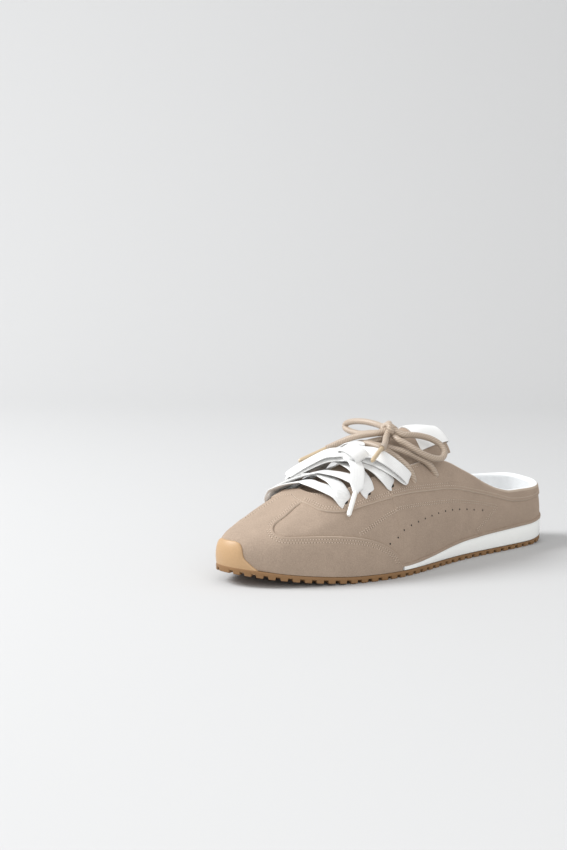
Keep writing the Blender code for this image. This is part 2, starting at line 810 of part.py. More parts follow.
def open_curve(points, spacing):
    """Points about the given distance apart on a smooth curve through the route's own points."""
    points = np.asarray(points, float)
    padded = np.vstack([2 * points[0] - points[1], points, 2 * points[-1] - points[-2]])
    fine = []
    for a, b, c, d in zip(padded, padded[1:], padded[2:], padded[3:]):
        u = np.linspace(0, 1, 16, endpoint=False)[:, None]
        fine.append(b + u * (c - a) / 2 + u**2 * (a - 2.5 * b + 2 * c - d / 2) + u**3 * (1.5 * (b - c) + (d - a) / 2))
    fine = np.vstack([*fine, points[-1:]])
    along = np.concatenate([[0], np.linalg.norm(np.diff(fine, axis=0), axis=1).cumsum()])
    places = np.linspace(0, along[-1], max(int(round(along[-1] / spacing)), 2) + 1)
    return np.stack([np.interp(places, along, fine[:, i]) for i in range(3)], -1)


def route_points(route, spacing):
    k, q, up = np.array(route, float).T
    return open_curve(on_form(k, q, up), spacing)


def knot_frame(knot):
    """A knot's centre and its axes along the ridge, across it and out of the upper."""
    k, q, up = knot[:3]
    centre, over, ahead = on_form(k, q, up), on_form(k, q, up + 1), on_form(k - 0.002, q, up)
    z = unit(over - centre)
    x = unit(ahead - centre - ((ahead - centre) @ z) * z)
    return centre, np.array([x, np.cross(z, x), z])


def from_knot(route, knot, reach, spacing, seats):
    """Route points that start, and for a loop end, just off a knot, at the given heights in it."""
    k, q, up = knot[:3]
    first, last = [(k, q, up + seats[0])], [(k, q, up + seats[1])] if len(seats) > 1 else []
    points = route_points(first + list(route) + last, 0.25)
    centre, axes = knot_frame(knot)
    half = np.array(knot[3:]) + reach
    clear = np.linalg.norm((points - centre) @ axes.T / half, axis=1) > 1
    held = len(points) if len(seats) > 1 else len(points) // 2
    outside = np.flatnonzero(clear)
    stop = outside[outside < held][-1] if len(seats) > 1 else len(points) - 1
    return open_curve(points[outside[0] : stop + 1], spacing)


def unit(vectors):
    return vectors / np.linalg.norm(vectors, axis=-1, keepdims=True)


def outward(points):
    """Roughly out of the upper at each point: up and away from a line inside the shoe."""
    core = np.column_stack([points[:, 0], RIDGE_SIDE(points[:, 0] / LENGTH) * BALL_WIDTH, 0 * points[:, 0] + CORE_HEIGHT])
    return unit(points - core)


def sweep(points, across, section, name, colour, roughness=0.7):
    """A closed solid that carries a flat or round section along the points."""
    run = unit(np.gradient(points, axis=0))
    across = unit(across - (across * run).sum(1, keepdims=True) * run)
    out = np.cross(run, across)
    rings = points[:, None] + across[:, None] * section[None, :, :1] + out[:, None] * section[None, :, 1:]
    solid = Solid()
    number = solid.grid(np.concatenate([rings, rings[:, :1]], axis=1))
    for end in (number[0], number[-1]):
        solid.faces.append(tuple(end[:-1]))
    return solid.build(name, colour, roughness)


def flat_section(width=FLAT_LACE_WIDTH, thick=FLAT_LACE_THICK):
    x, y = width / 2, thick / 2
    return np.array([(x, 0), (x - thick * 0.6, y), (thick * 0.6 - x, y), (-x, 0), (thick * 0.6 - x, -y), (x - thick * 0.6, -y)])


def round_section(diameter, sides=8):
    turn = np.arange(sides) * 2 * math.pi / sides
    return np.column_stack([np.cos(turn), np.sin(turn)]) * diameter / 2


def eyelet(side, i):
    """k and q of an eyelet, its q positive on the little toe's side."""
    q = 1 - EYELETS[i][2]
    return EYELETS[i][side], q if side == LATERAL else -q


def cut_eyelets(upper):
    """Punches the five pairs of eyelets through the wall."""
    holes = []
    for i in range(len(EYELETS)):
        for side in (LATERAL, MEDIAL):
            k, q = eyelet(side, i)
            ends = on_form(k, q, np.array([-2.5 * WALL, OVERLAY + WALL]))
            steps = np.linspace(0, 1, 3)[:, None]
            line = ends[0] + (ends[1] - ends[0]) * steps
            across = np.tile((1.0, 0.2, 0.0), (3, 1))
            holes.append(sweep(line, across, round_section(EYELET), "eyelet_hole", WHITE))
    join(upper, holes, "DIFFERENCE")


def strand(ends, seat, crest, middle=None):
    """Rows of a lace's route from eyelet to eyelet, at one height on the stay and another in the throat."""
    (k0, q0), (k1, q1) = ends
    rows = []
    for u in np.linspace(0, 1, 13):
        k, q = k0 + (k1 - k0) * u, q0 + (q1 - q0) * u
        if middle is not None:
            k += (middle - (k0 + k1) / 2) * math.sin(math.pi * u) ** 1.3
        inside = min(max((0.26 - abs(q)) / 0.20, 0), 1)
        rows.append((k, q, seat + (crest - seat) * inside**2 * (3 - 2 * inside)))
    return rows


def flat_strand(route, name, spacing=8.5):
    points = route_points(route, spacing)
    run = np.gradient(points, axis=0)
    return sweep(points, np.cross(run, outward(points)), flat_section(), name, WHITE)


def make_flat_bars():
    """The white lace's bars: straight across at the front, then crossed twice, then up to its knot."""
    seat, under, over = OVERLAY + 2.5 * GAP + FLAT_LACE_THICK, FLAT_LACE_THICK / 2, 2 * FLAT_LACE_THICK + GAP
    routes = [strand((eyelet(LATERAL, 0), eyelet(MEDIAL, 0)), seat + GAP, seat + 2 * GAP, THROAT + 0.034)]
    for i in (0, 1):
        routes.append(strand((eyelet(LATERAL, i), eyelet(MEDIAL, i + 1)), seat + GAP, under))
        routes.append(strand((eyelet(MEDIAL, i), eyelet(LATERAL, i + 1)), seat + 1.5 * GAP, over))
    routes.append(strand((eyelet(LATERAL, 2), eyelet(MEDIAL, 2)), seat, over, FLAT_KNOT[0]))
    bars = [flat_strand(route, "flat_lace_bars" if i == 0 else "bar") for i, route in enumerate(routes)]
    join(bars[0], bars[1:])


def make_round_bars():
    """The round lace's bars, one pair of eyelets each, drawn together under its knot."""
    seat = OVERLAY + GAP + ROUND_LACE / 2 + 0.2
    middle = FLAT_KNOT[0] + 0.072
    routes = [strand((eyelet(LATERAL, i), eyelet(MEDIAL, i)), seat, seat, middle) for i in (3, 4)]
    routes.append([(middle, 0, seat), (ROUND_KNOT[0] - 0.025, 0.05, seat - 0.3), (ROUND_KNOT[0], 0.09, seat - 0.7)])
    bars = []
    for i, route in enumerate(routes):
        points = route_points(route, 6.5)
        name = "bar" if i else "round_lace_bars"
        bars.append(sweep(points, outward(points), round_section(ROUND_LACE), name, TAUPE_CORD))
    join(bars[0], bars[1:])


def make_knot(name, knot, colour):
    centre, axes = knot_frame(knot)
    turn, climb = np.linspace(0, 2 * math.pi, 13), np.linspace(-math.pi / 2, math.pi / 2, 8)
    u, v = np.meshgrid(turn, climb)
    ball = np.stack([np.cos(v) * np.cos(u), np.cos(v) * np.sin(u), np.sin(v)], -1) * knot[3:]
    solid = Solid()
    solid.grid(centre + ball @ axes)
    solid.build(name, colour, 0.7)


def make_flat_bow(name, route):
    """A loop of the flat lace, laid down with its flat side up and folded back on itself."""
    points = from_knot(route, FLAT_KNOT, 0.7, 4.5, (1.2, -1.2))
    tip = points[len(points) // 2]
    side = np.cross(tip - points[0], outward(points[:1])[0])
    sweep(points, np.tile(side, (len(points), 1)), flat_section(), name, WHITE)


def split_end(points, spacing, tip_length):
    """The lace's own stretch of an end and the two ends of its stiff tip."""
    back = np.linalg.norm(points - points[-1], axis=1)
    cut = int(np.argmax(back < tip_length))
    return open_curve(points[: cut + 1], spacing), points[cut], points[-1]


def make_flat_end(name, route):
    points, start, stop = split_end(from_knot(route, FLAT_KNOT, 0.5, 0.5, (0,)), 4.5, FLAT_TIP_LENGTH)
    run = np.gradient(points, axis=0)
    sweep(points, np.cross(run, outward(points)), flat_section(), name, WHITE)
    make_tip(name + "_tip", start, stop, FLAT_TIP, WHITE)


def make_tip(name, start, stop, diameter, colour):
    line = start + (stop - start) * np.linspace(0, 1, 3)[:, None] + unit(stop - start) * 2 * GAP
    sweep(line, outward(line), round_section(diameter), name, colour, 0.3)


def make_cord(name, points):
    """A free stretch of the round lace, as a poly curve with a round bevel."""
    curve = bpy.data.curves.new(name, "CURVE")
    curve.dimensions = "3D"
    curve.bevel_depth = ROUND_LACE / 2 * MM
    curve.bevel_resolution = 2
    curve.use_fill_caps = True
    spline = curve.splines.new("POLY")
    spline.points.add(len(points) - 1)
    for spot, place in zip(spline.points, world(points)):
        spot.co = (*place, 1)
    thing = bpy.data.objects.new(name, curve)
    bpy.context.scene.collection.objects.link(thing)
    curve.materials.append(material(name, TAUPE_CORD, 0.45))


def make_round_end(name, route):
    points, start, stop = split_end(from_knot(route, ROUND_KNOT, 0.4, 0.5, (0,)), 6.0, ROUND_TIP_LENGTH)
    make_cord(name, points)
    make_tip(name + "_tip", start, stop, ROUND_TIP, TAUPE_CORD)


def make_laces():
    make_flat_bars()
    make_knot("flat_lace_knot", FLAT_KNOT, WHITE)
    make_flat_bow("flat_lace_bow_side", SIDE_BOW)
    make_flat_bow("flat_lace_bow_toe", TOE_BOW)
    make_flat_end("flat_lace_end_side", SIDE_END)
    make_flat_end("flat_lace_end_inner", INNER_END)
    make_round_bars()
    make_knot("round_lace_knot", ROUND_KNOT, TAUPE_CORD)
    for name, route in (("round_lace_loop_heel", HEEL_LOOP), ("round_lace_loop_inner", AIR_LOOP)):
        make_cord(name, from_knot(route, ROUND_KNOT, 0.8, 6.0, (2.2, -2.2)))
    make_round_end("round_lace_end_front", FRONT_TAIL)
    make_round_end("round_lace_end_inner", INNER_TAIL)


def main():
    for thing in list(bpy.data.objects):
        bpy.data.objects.remove(thing)
    make_outsole()
    make_midsole()
    make_insole()
    cut_eyelets(make_upper())
    make_tongue()
    make_label()
    make_laces()


main()
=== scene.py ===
"""The look of a backless suede sneaker, one left shoe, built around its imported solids.

Lengths are millimetres until a mesh is written. s runs from the heel to the toe, a runs to the
little toe's side and z runs up. In the scene the toe points to -Y and the little toe's side to +X.
On the upper, k is the share of the way along the sole's edge from the toe to the heel, and w is
the share of the way up the rib that starts there and ends on the ridge over the instep.
"""

import math

import bmesh
import bpy
import numpy as np
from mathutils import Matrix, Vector

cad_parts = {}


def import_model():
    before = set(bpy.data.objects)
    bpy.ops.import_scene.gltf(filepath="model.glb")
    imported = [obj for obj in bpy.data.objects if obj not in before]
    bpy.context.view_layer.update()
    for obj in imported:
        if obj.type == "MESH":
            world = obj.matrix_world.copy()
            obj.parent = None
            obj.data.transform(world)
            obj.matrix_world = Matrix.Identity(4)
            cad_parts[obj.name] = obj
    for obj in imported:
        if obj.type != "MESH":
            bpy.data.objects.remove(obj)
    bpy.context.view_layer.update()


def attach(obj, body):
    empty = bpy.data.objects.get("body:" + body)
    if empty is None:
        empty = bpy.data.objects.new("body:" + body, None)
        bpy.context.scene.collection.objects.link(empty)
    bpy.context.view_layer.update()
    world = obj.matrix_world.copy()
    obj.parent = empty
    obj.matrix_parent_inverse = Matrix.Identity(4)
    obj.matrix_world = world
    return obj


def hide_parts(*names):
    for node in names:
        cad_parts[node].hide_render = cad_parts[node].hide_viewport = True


MM = 0.001

# Driving sizes
LENGTH = 270.0
BALL_WIDTH = 94.0
INSTEP = 84.0
HEEL_STACK = 12.6
GUM = 4.4
LUG_DEPTH = 1.8
LUG_PITCH = 7.8
TOE_SPRING = 8.4
WALL = 2.0
OVERLAY = 0.9
COLLAR_PAD = 1.8
INSOLE = 3.5
TONGUE = 3.2
LABEL_WIDTH = 40.0
LABEL_LENGTH = 26.0
LABEL_THICK = 0.8
BUMPER = 1.3
EYELET = 4.0
FLAT_LACE_WIDTH = 10.0
FLAT_LACE_THICK = 1.3
ROUND_LACE = 4.2
FLAT_TIP = 3.2
FLAT_TIP_LENGTH = 18.0
ROUND_TIP = 3.0
ROUND_TIP_LENGTH = 20.0
CORE_HEIGHT = 20.0
GAP = 0.3

# The sole's edge: share of length from the heel, share of ball width to the little toe's side
OUTLINE = [
    (0.000, 0.020),
    (0.030, 0.225),
    (0.100, 0.295),
    (0.220, 0.325),
    (0.360, 0.360),
    (0.500, 0.445),
    (0.620, 0.505),
    (0.700, 0.490),
    (0.780, 0.440),
    (0.870, 0.330),
    (0.940, 0.200),
    (0.985, 0.050),
    (1.000, -0.090),
    (0.985, -0.230),
    (0.940, -0.320),
    (0.870, -0.430),
    (0.780, -0.500),
    (0.700, -0.510),
    (0.600, -0.455),
    (0.480, -0.350),
    (0.360, -0.300),
    (0.220, -0.310),
    (0.100, -0.285),
    (0.030, -0.190),
]

# Share of length, tread above the floor as a share of the toe spring
SPRING = [
    (0.0, 0.48),
    (0.04, 0.16),
    (0.10, 0.0),
    (0.66, 0.0),
    (0.74, 0.03),
    (0.84, 0.24),
    (0.93, 0.60),
    (1.0, 1.0),
]
# Share of length, gum thickness as a share of its thickness at the toe
GUM_RUN = [(0.0, 0.68), (0.30, 0.75), (0.55, 0.89), (0.75, 0.95), (1.0, 1.0)]
# Share of length, midsole thickness as a share of the heel stack
MID_RUN = [
    (0.0, 1.0),
    (0.10, 0.97),
    (0.25, 0.87),
    (0.38, 0.69),
    (0.50, 0.38),
    (0.56, 0.26),
    (0.62, 0.19),
    (1.0, 0.19),
]
# Share of length, ridge to the side as a share of ball width, ridge height as a share of the instep
RIDGE = [
    (0.00, -0.005, 1.100),
    (0.20, -0.010, 1.120),
    (0.35, -0.020, 1.080),
    (0.48, -0.035, 1.000),
    (0.58, -0.050, 0.900),
    (0.66, -0.060, 0.800),
    (0.74, -0.075, 0.685),
    (0.82, -0.090, 0.565),
    (0.90, -0.100, 0.450),
    (1.00, -0.110, 0.330),
]
# Share of length, a rib's pull up and in as shares of its height and reach, its lean out as one of ball width
RIB = [
    (0.00, 0.42, 0.45, 0.011),
    (0.20, 0.42, 0.45, 0.021),
    (0.40, 0.45, 0.47, 0.021),
    (0.50, 0.47, 0.50, 0.021),
    (0.70, 0.55, 0.62, 0.032),
    (0.85, 0.66, 0.70, 0.036),
    (1.00, 0.75, 0.72, 0.032),
]
# How far the ribs fan in at the toe and the heel, and over what length, as shares of length
FAN_TOE = (0.126, 0.230)
FAN_HEEL = (0.111, 0.204)

# The midsole shows behind this k, and the toe piece's wings end there
WING_END = 0.409
# The tip of the side panel, between the wing and the strip over the toe: k, w
TIP = (0.105, 0.580)
# k, w of the wing's top edge
WING = [
    TIP,
    (0.110, 0.480),
    (0.130, 0.395),
    (0.174, 0.357),
    (0.229, 0.320),
    (0.291, 0.270),
    (0.340, 0.212),
    (0.374, 0.150),
    (0.399, 0.083),
    (WING_END, 0.015),
]
# k, w of the lower edge of the toe strip, then of eyestay and collar band
BAND = [
    TIP,
    (0.110, 0.655),
    (0.138, 0.740),
    (0.189, 0.823),
    (0.206, 0.745),
    (0.219, 0.645),
    (0.242, 0.562),
    (0.284, 0.505),
    (0.333, 0.492),
    (0.383, 0.478),
    (0.453, 0.445),
    (0.532, 0.395),
    (0.614, 0.345),
    (0.698, 0.275),
    (0.760, 0.220),
    (0.810, 0.178),
    (0.864, 0.165),
    (1.000, 0.168),
]
# k, w of the throat's edge and the topline, on the little toe's side and on the big toe's side
TOP = [
    (0.215, 1.000, 1.000),
    (0.221, 0.920, 0.850),
    (0.240, 0.810, 0.735),
    (0.288, 0.705, 0.690),
    (0.350, 0.690, 0.680),
    (0.416, 0.660, 0.660),
    (0.487, 0.614, 0.614),
    (0.542, 0.597, 0.597),
    (0.586, 0.570, 0.575),
    (0.621, 0.522, 0.530),
    (0.655, 0.458, 0.470),
    (0.691, 0.395, 0.415),
    (0.724, 0.333, 0.360),
    (0.768, 0.275, 0.310),
    (0.805, 0.250, 0.290),
    (0.860, 0.243, 0.280),
    (0.935, 0.234, 0.268),
    (1.000, 0.240, 0.240),
]
# k on the little toe's side, k on the big toe's side and w of the eyelets, from the throat's front
EYELETS = [
    (0.288, 0.236, 0.588),
    (0.350, 0.300, 0.575),
    (0.416, 0.370, 0.547),
    (0.487, 0.460, 0.503),
    (0.566, 0.542, 0.473),
]

# Routes over the form: k, q from the ridge to the little toe's side, height over the form
SIDE_END = [
    (0.350, 0.240, 8.0),
    (0.335, 0.315, 7.2),
    (0.318, 0.385, 6.8),
    (0.304, 0.445, 6.3),
    (0.290, 0.505, 5.4),
    (0.278, 0.560, 4.4),
]
INNER_END = [
    (0.408, 0.030, 7.4),
    (0.412, -0.080, 6.8),
    (0.408, -0.200, 5.8),
    (0.396, -0.330, 5.6),
    (0.372, -0.440, 5.8),
    (0.346, -0.550, 5.6),
]
SIDE_BOW = [
    (0.400, 0.215, 10.4),
    (0.415, 0.300, 10.2),
    (0.435, 0.395, 8.6),
    (0.452, 0.465, 6.8),
    (0.456, 0.482, 5.4),
    (0.450, 0.462, 4.4),
    (0.433, 0.392, 5.0),
    (0.414, 0.305, 5.4),
    (0.400, 0.225, 5.6),
]
TOE_BOW = [
    (0.345, 0.045, 10.6),
    (0.330, -0.040, 10.2),
    (0.303, -0.160, 8.6),
    (0.276, -0.250, 7.8),
    (0.268, -0.272, 6.9),
    (0.276, -0.255, 6.2),
    (0.303, -0.165, 6.4),
    (0.328, -0.050, 7.0),
    (0.343, 0.030, 7.2),
]
HEEL_LOOP = [
    (0.503, 0.186, 9.6),
    (0.522, 0.215, 9.3),
    (0.548, 0.250, 8.8),
    (0.573, 0.305, 8.8),
    (0.589, 0.370, 9.0),
    (0.589, 0.425, 9.0),
    (0.575, 0.450, 8.7),
    (0.557, 0.440, 8.6),
    (0.541, 0.415, 8.4),
    (0.524, 0.375, 8.2),
    (0.509, 0.320, 8.1),
    (0.498, 0.260, 8.0),
    (0.490, 0.205, 7.9),
]
AIR_LOOP = [
    (0.494, 0.008, 9.4),
    (0.497, -0.040, 9.8),
    (0.499, -0.090, 11.4),
    (0.498, -0.140, 14.5),
    (0.496, -0.190, 18.4),
    (0.493, -0.240, 22.8),
    (0.491, -0.285, 26.6),
    (0.489, -0.314, 28.2),
    (0.486, -0.326, 26.2),
    (0.485, -0.313, 22.4),
    (0.485, -0.285, 17.6),
    (0.486, -0.245, 12.8),
    (0.487, -0.200, 9.6),
    (0.487, -0.140, 7.2),
    (0.485, -0.080, 5.8),
    (0.484, -0.030, 5.4),
    (0.483, 0.004, 5.4),
]
FRONT_TAIL = [
    (0.468, 0.138, 8.6),
    (0.457, 0.168, 8.6),
    (0.437, 0.212, 9.8),
    (0.418, 0.245, 13.4),
    (0.402, 0.270, 16.4),
    (0.386, 0.290, 17.4),
    (0.366, 0.322, 17.6),
]
INNER_TAIL = [
    (0.466, 0.058, 8.8),
    (0.454, 0.022, 8.6),
    (0.440, -0.030, 8.8),
    (0.425, -0.090, 9.4),
    (0.405, -0.150, 10.0),
    (0.383, -0.200, 10.6),
    (0.353, -0.245, 11.6),
    (0.318, -0.280, 12.2),
]
# Knots: k, q, height over the form, then half sizes along the ridge, across it and up
FLAT_KNOT = (0.366, 0.130, 9.8, 8.6, 8.6, 4.8)
ROUND_KNOT = (0.492, 0.095, 10.0, 6.2, 6.0, 4.9)

LATERAL, MEDIAL = 0, 1


def smooth_through(rows, column=1):
    """A smooth curve through a table's rows that never swings past them."""
    table = np.array(rows, float)
    x, y = table[:, 0], table[:, column]
    h, slope = np.diff(x), np.diff(y) / np.diff(x)
    tangent = np.zeros(len(x))
    tangent[0], tangent[-1] = slope[0], slope[-1]
    for i in range(1, len(x) - 1):
        if slope[i - 1] * slope[i] > 0:
            a, b = 2 * h[i] + h[i - 1], h[i] + 2 * h[i - 1]
            tangent[i] = (a + b) / (a / slope[i - 1] + b / slope[i])

    def at(u):
        u = np.clip(u, x[0], x[-1])
        i = np.clip(np.searchsorted(x, u, side="right") - 1, 0, len(x) - 2)
        v = (u - x[i]) / h[i]
        return (
            y[i] * (1 + 2 * v) * (1 - v) ** 2
            + y[i + 1] * v**2 * (3 - 2 * v)
            + h[i] * v * (1 - v) * (tangent[i] * (1 - v) - tangent[i + 1] * v)
        )

    return at


def travel(points):
    """How far along its line each point is."""
    return np.concatenate([[0], np.linalg.norm(np.diff(points, axis=0), axis=1).cumsum()])


def edge_through(rows):
    """A panel's edge from its round tip back: smooth in the root of the distance from the tip."""
    start = rows[0][0]
    at = smooth_through([(math.sqrt(k - start), w) for k, w in rows])
    return lambda k: at(np.sqrt(np.maximum(np.asarray(k, float) - start, 0)))


def closed_spline(points, samples):
    """Points on a smooth closed curve through the given ones."""
    ring = np.vstack([points, points[:1]])
    step = np.linalg.norm(np.diff(ring, axis=0), axis=1) ** 0.7
    knots = np.concatenate([[0], np.cumsum(step)])
    n = len(step)
    slope = np.diff(ring, axis=0) / step[:, None]
    system, right = np.zeros((n + 1, n + 1)), np.zeros_like(ring)
    for i in range(1, n):
        system[i, i - 1 : i + 2] = step[i - 1], 2 * (step[i - 1] + step[i]), step[i]
        right[i] = 6 * (slope[i] - slope[i - 1])
    system[0, 0], system[0, n] = 1, -1
    system[n, 0], system[n, 1] = 2 * step[0], step[0]
    system[n, n - 1], system[n, n] = step[n - 1], 2 * step[n - 1]
    right[n] = 6 * (slope[0] - slope[n - 1])
    bend = np.linalg.solve(system, right)
    u = np.linspace(0, knots[-1], samples, endpoint=False)
    i = np.clip(np.searchsorted(knots, u, side="right") - 1, 0, n - 1)
    d, w = (u - knots[i])[:, None], step[i][:, None]
    lead = slope[i] - w * (2 * bend[i] + bend[i + 1]) / 6
    return ring[i] + d * (lead + d * (bend[i] / 2 + d * (bend[i + 1] - bend[i]) / (6 * w)))


def open_curve(points, spacing):
    """Points about the given distance apart on a smooth curve through the route's own points."""
    points = np.asarray(points, float)
    padded = np.vstack([2 * points[0] - points[1], points, 2 * points[-1] - points[-2]])
    fine = []
    for a, b, c, d in zip(padded, padded[1:], padded[2:], padded[3:]):
        u = np.linspace(0, 1, 16, endpoint=False)[:, None]
        low = b + u * (c - a) / 2
        fine.append(low + u**2 * (a - 2.5 * b + 2 * c - d / 2) + u**3 * (1.5 * (b - c) + (d - a) / 2))
    fine = np.vstack([*fine, points[-1:]])
    along = travel(fine)
    places = np.linspace(0, along[-1], max(int(round(along[-1] / spacing)), 2) + 1)
    return np.stack([np.interp(places, along, fine[:, i]) for i in range(3)], -1)


def sole_edges():
    """The sole's edge from the toe to the heel on each side: the share of the way and the points."""
    ring = closed_spline(np.array(OUTLINE) * (LENGTH, BALL_WIDTH), 1600)
    heel = int(ring[:, 0].argmin())
    ring = np.roll(ring, -heel, axis=0)
    toe = int(ring[:, 0].argmax())
    edges = []
    for line in (ring[: toe + 1][::-1], np.vstack([ring[toe:], ring[:1]])):
        along = travel(line)
        edges.append((along / along[-1], line, along[-1]))
    return edges


EDGES = sole_edges()
EDGE_LENGTH = EDGES[LATERAL][2]
MIDDLE = (EDGES[LATERAL][1][:, 1].max() + EDGES[MEDIAL][1][:, 1].min()) / 2
SPRING_AT, GUM_AT, MID_AT = smooth_through(SPRING), smooth_through(GUM_RUN), smooth_through(MID_RUN)
RIDGE_SIDE, RIDGE_UP = smooth_through(RIDGE), smooth_through(RIDGE, 2)
PULL_UP, PULL_IN, LEAN = smooth_through(RIB), smooth_through(RIB, 2), smooth_through(RIB, 3)
WING_AT, BAND_AT = edge_through(WING), edge_through(BAND)
TOP_AT = (smooth_through(TOP), smooth_through(TOP, 2))
THROAT = TOP[0][0]


def edge_at(side, k):
    """Points on the sole's edge and the level directions from them into the shoe."""
    along, line, _ = EDGES[side]
    k = np.asarray(k, float)
    point = np.stack([np.interp(k, along, line[:, i]) for i in (0, 1)], -1)
    near, far = np.clip(k - 0.001, 0, 1), np.clip(k + 0.001, 0, 1)
    steps = [np.interp(far, along, line[:, i]) - np.interp(near, along, line[:, i]) for i in (0, 1)]
    run = np.stack(steps, -1)
    turn = 1 if side == LATERAL else -1
    run[k <= 0], run[k >= 1] = (0, turn), (0, -turn)
    run /= np.linalg.norm(run, axis=-1, keepdims=True)
    return point, turn * np.stack([-run[:, 1], run[:, 0]], -1)


def tread_z(s):
    return SPRING_AT(s / LENGTH) * TOE_SPRING


def gum_top(s):
    return tread_z(s) + GUM_AT(s / LENGTH) * GUM


def midsole_top(s):
    return gum_top(s) + MID_AT(s / LENGTH) * HEEL_STACK


def upper_inset(k):
    """How far the upper's wall stands in from the sole's edge."""
    at_toe = OVERLAY + BUMPER + 2 * GAP - 0.2
    return np.interp(k, [0.0, 0.09, 0.13, 0.38, 0.46, 1.0], [at_toe, at_toe, 1.4, 1.4, 0.6, 0.3])


def ridge_point(k):
    """Where the ribs of both sides that start at k meet."""
    s = (edge_at(LATERAL, k)[0][:, 0] + edge_at(MEDIAL, k)[0][:, 0]) / 2
    toe, heel = np.array(FAN_TOE) * LENGTH, np.array(FAN_HEEL) * LENGTH
    s = s - toe[0] * np.exp(-(LENGTH - s) / toe[1]) + heel[0] * np.exp(-s / heel[1])
    return np.stack([s, RIDGE_SIDE(s / LENGTH) * BALL_WIDTH, RIDGE_UP(s / LENGTH) * INSTEP], -1)


def ridge_normal(ridge):
    """Up out of the form along its ridge, square to the ridge and level across it."""
    u, e = ridge[:, 0] / LENGTH, 0.01
    side = (RIDGE_SIDE(u + e) - RIDGE_SIDE(u - e)) * BALL_WIDTH
    up = (RIDGE_UP(u + e) - RIDGE_UP(u - e)) * INSTEP
    normal = np.cross(np.column_stack([np.full_like(u, -2 * e * LENGTH), -side, -up]), (0.0, 1.0, 0.0))
    normal *= np.sign(normal[:, 2:])
    return normal / np.linalg.norm(normal, axis=1, keepdims=True)


def form(side, k, w):
    """The last's surface at each k and its row of w: an array of (s, a, z)."""
    k = np.asarray(k, float)
    w = np.asarray(w, float)[..., None]
    edge, inward = edge_at(side, k)
    t = edge[:, 0] / LENGTH
    foot = edge + inward * upper_inset(k)[:, None]
    foot_z = np.where(k < WING_END, gum_top(edge[:, 0]), midsole_top(edge[:, 0])) + GAP
    foot = np.column_stack([foot, foot_z])
    ridge = ridge_point(k)
    rise = ridge[:, 2] - foot_z
    knee = foot + np.column_stack([-inward * (LEAN(t) * BALL_WIDTH)[:, None], PULL_UP(t) * rise])
    normal = ridge_normal(ridge)
    level = (ridge - foot) * (1, 1, 0)
    reach = np.linalg.norm(level, axis=1, keepdims=True)
    level /= reach
    level = level - (level * normal).sum(1, keepdims=True) * normal
    level /= np.linalg.norm(level, axis=1, keepdims=True)
    shoulder = ridge - level * reach * PULL_IN(t)[:, None]
    a, b, c, d = (p[:, None] for p in (foot, knee, shoulder, ridge))
    return (1 - w) ** 3 * a + 3 * (1 - w) ** 2 * w * b + 3 * (1 - w) * w**2 * c + w**3 * d


def form_normals(side, k, w):
    """Directions out of the form, the same from both sides where they meet."""

    def one_side(which):
        e = 0.002
        near, far = np.clip(k - e, 0, 1), np.clip(k + e, 0, 1)
        along = form(which, far, w) - form(which, near, w)
        up = form(which, k, np.minimum(w + e, 1)) - form(which, k, w - e)
        out = np.cross(along, up) if which == LATERAL else np.cross(up, along)
        return out / np.maximum(np.linalg.norm(out, axis=-1, keepdims=True), 1e-12)

    k, w = np.asarray(k, float), np.asarray(w, float)
    ends = (k <= 0) | (k >= 1)
    out = one_side(side)
    out = np.where(ends[:, None, None], out + one_side(1 - side), out)
    out = np.where((w >= 1 - 1e-9)[..., None], ridge_normal(ridge_point(k))[:, None], out)
    return out / np.linalg.norm(out, axis=-1, keepdims=True)


def world(points):
    """Metres in the scene from (s, a, z) in millimetres."""
    points = np.asarray(points, float)
    return np.stack([points[..., 1] - MIDDLE, LENGTH / 2 - points[..., 0], points[..., 2]], -1) * MM


def on_form(k, q, lift):
    """Points over the form: q is the share of the rib past the ridge, positive to the little toe's side."""
    k, q, lift = np.broadcast_arrays(*(np.asarray(v, float) for v in (k, q, lift)))
    points = np.zeros(k.shape + (3,))
    for side in (LATERAL, MEDIAL):
        here = q >= 0 if side == LATERAL else q < 0
        if here.any():
            w = (1 - np.abs(q[here]))[:, None]
            base, out = form(side, k[here], w)[:, 0], form_normals(side, k[here], w)[:, 0]
            points[here] = base + out * lift[here][:, None]
    return points


def unit(vectors):
    return vectors / np.maximum(np.linalg.norm(vectors, axis=-1, keepdims=True), 1e-12)


def ease(x, low, high):
    """Zero below low, one above high and a smooth step between."""
    v = np.clip((np.asarray(x, float) - low) / (high - low), 0, 1)
    return v * v * (3 - 2 * v)


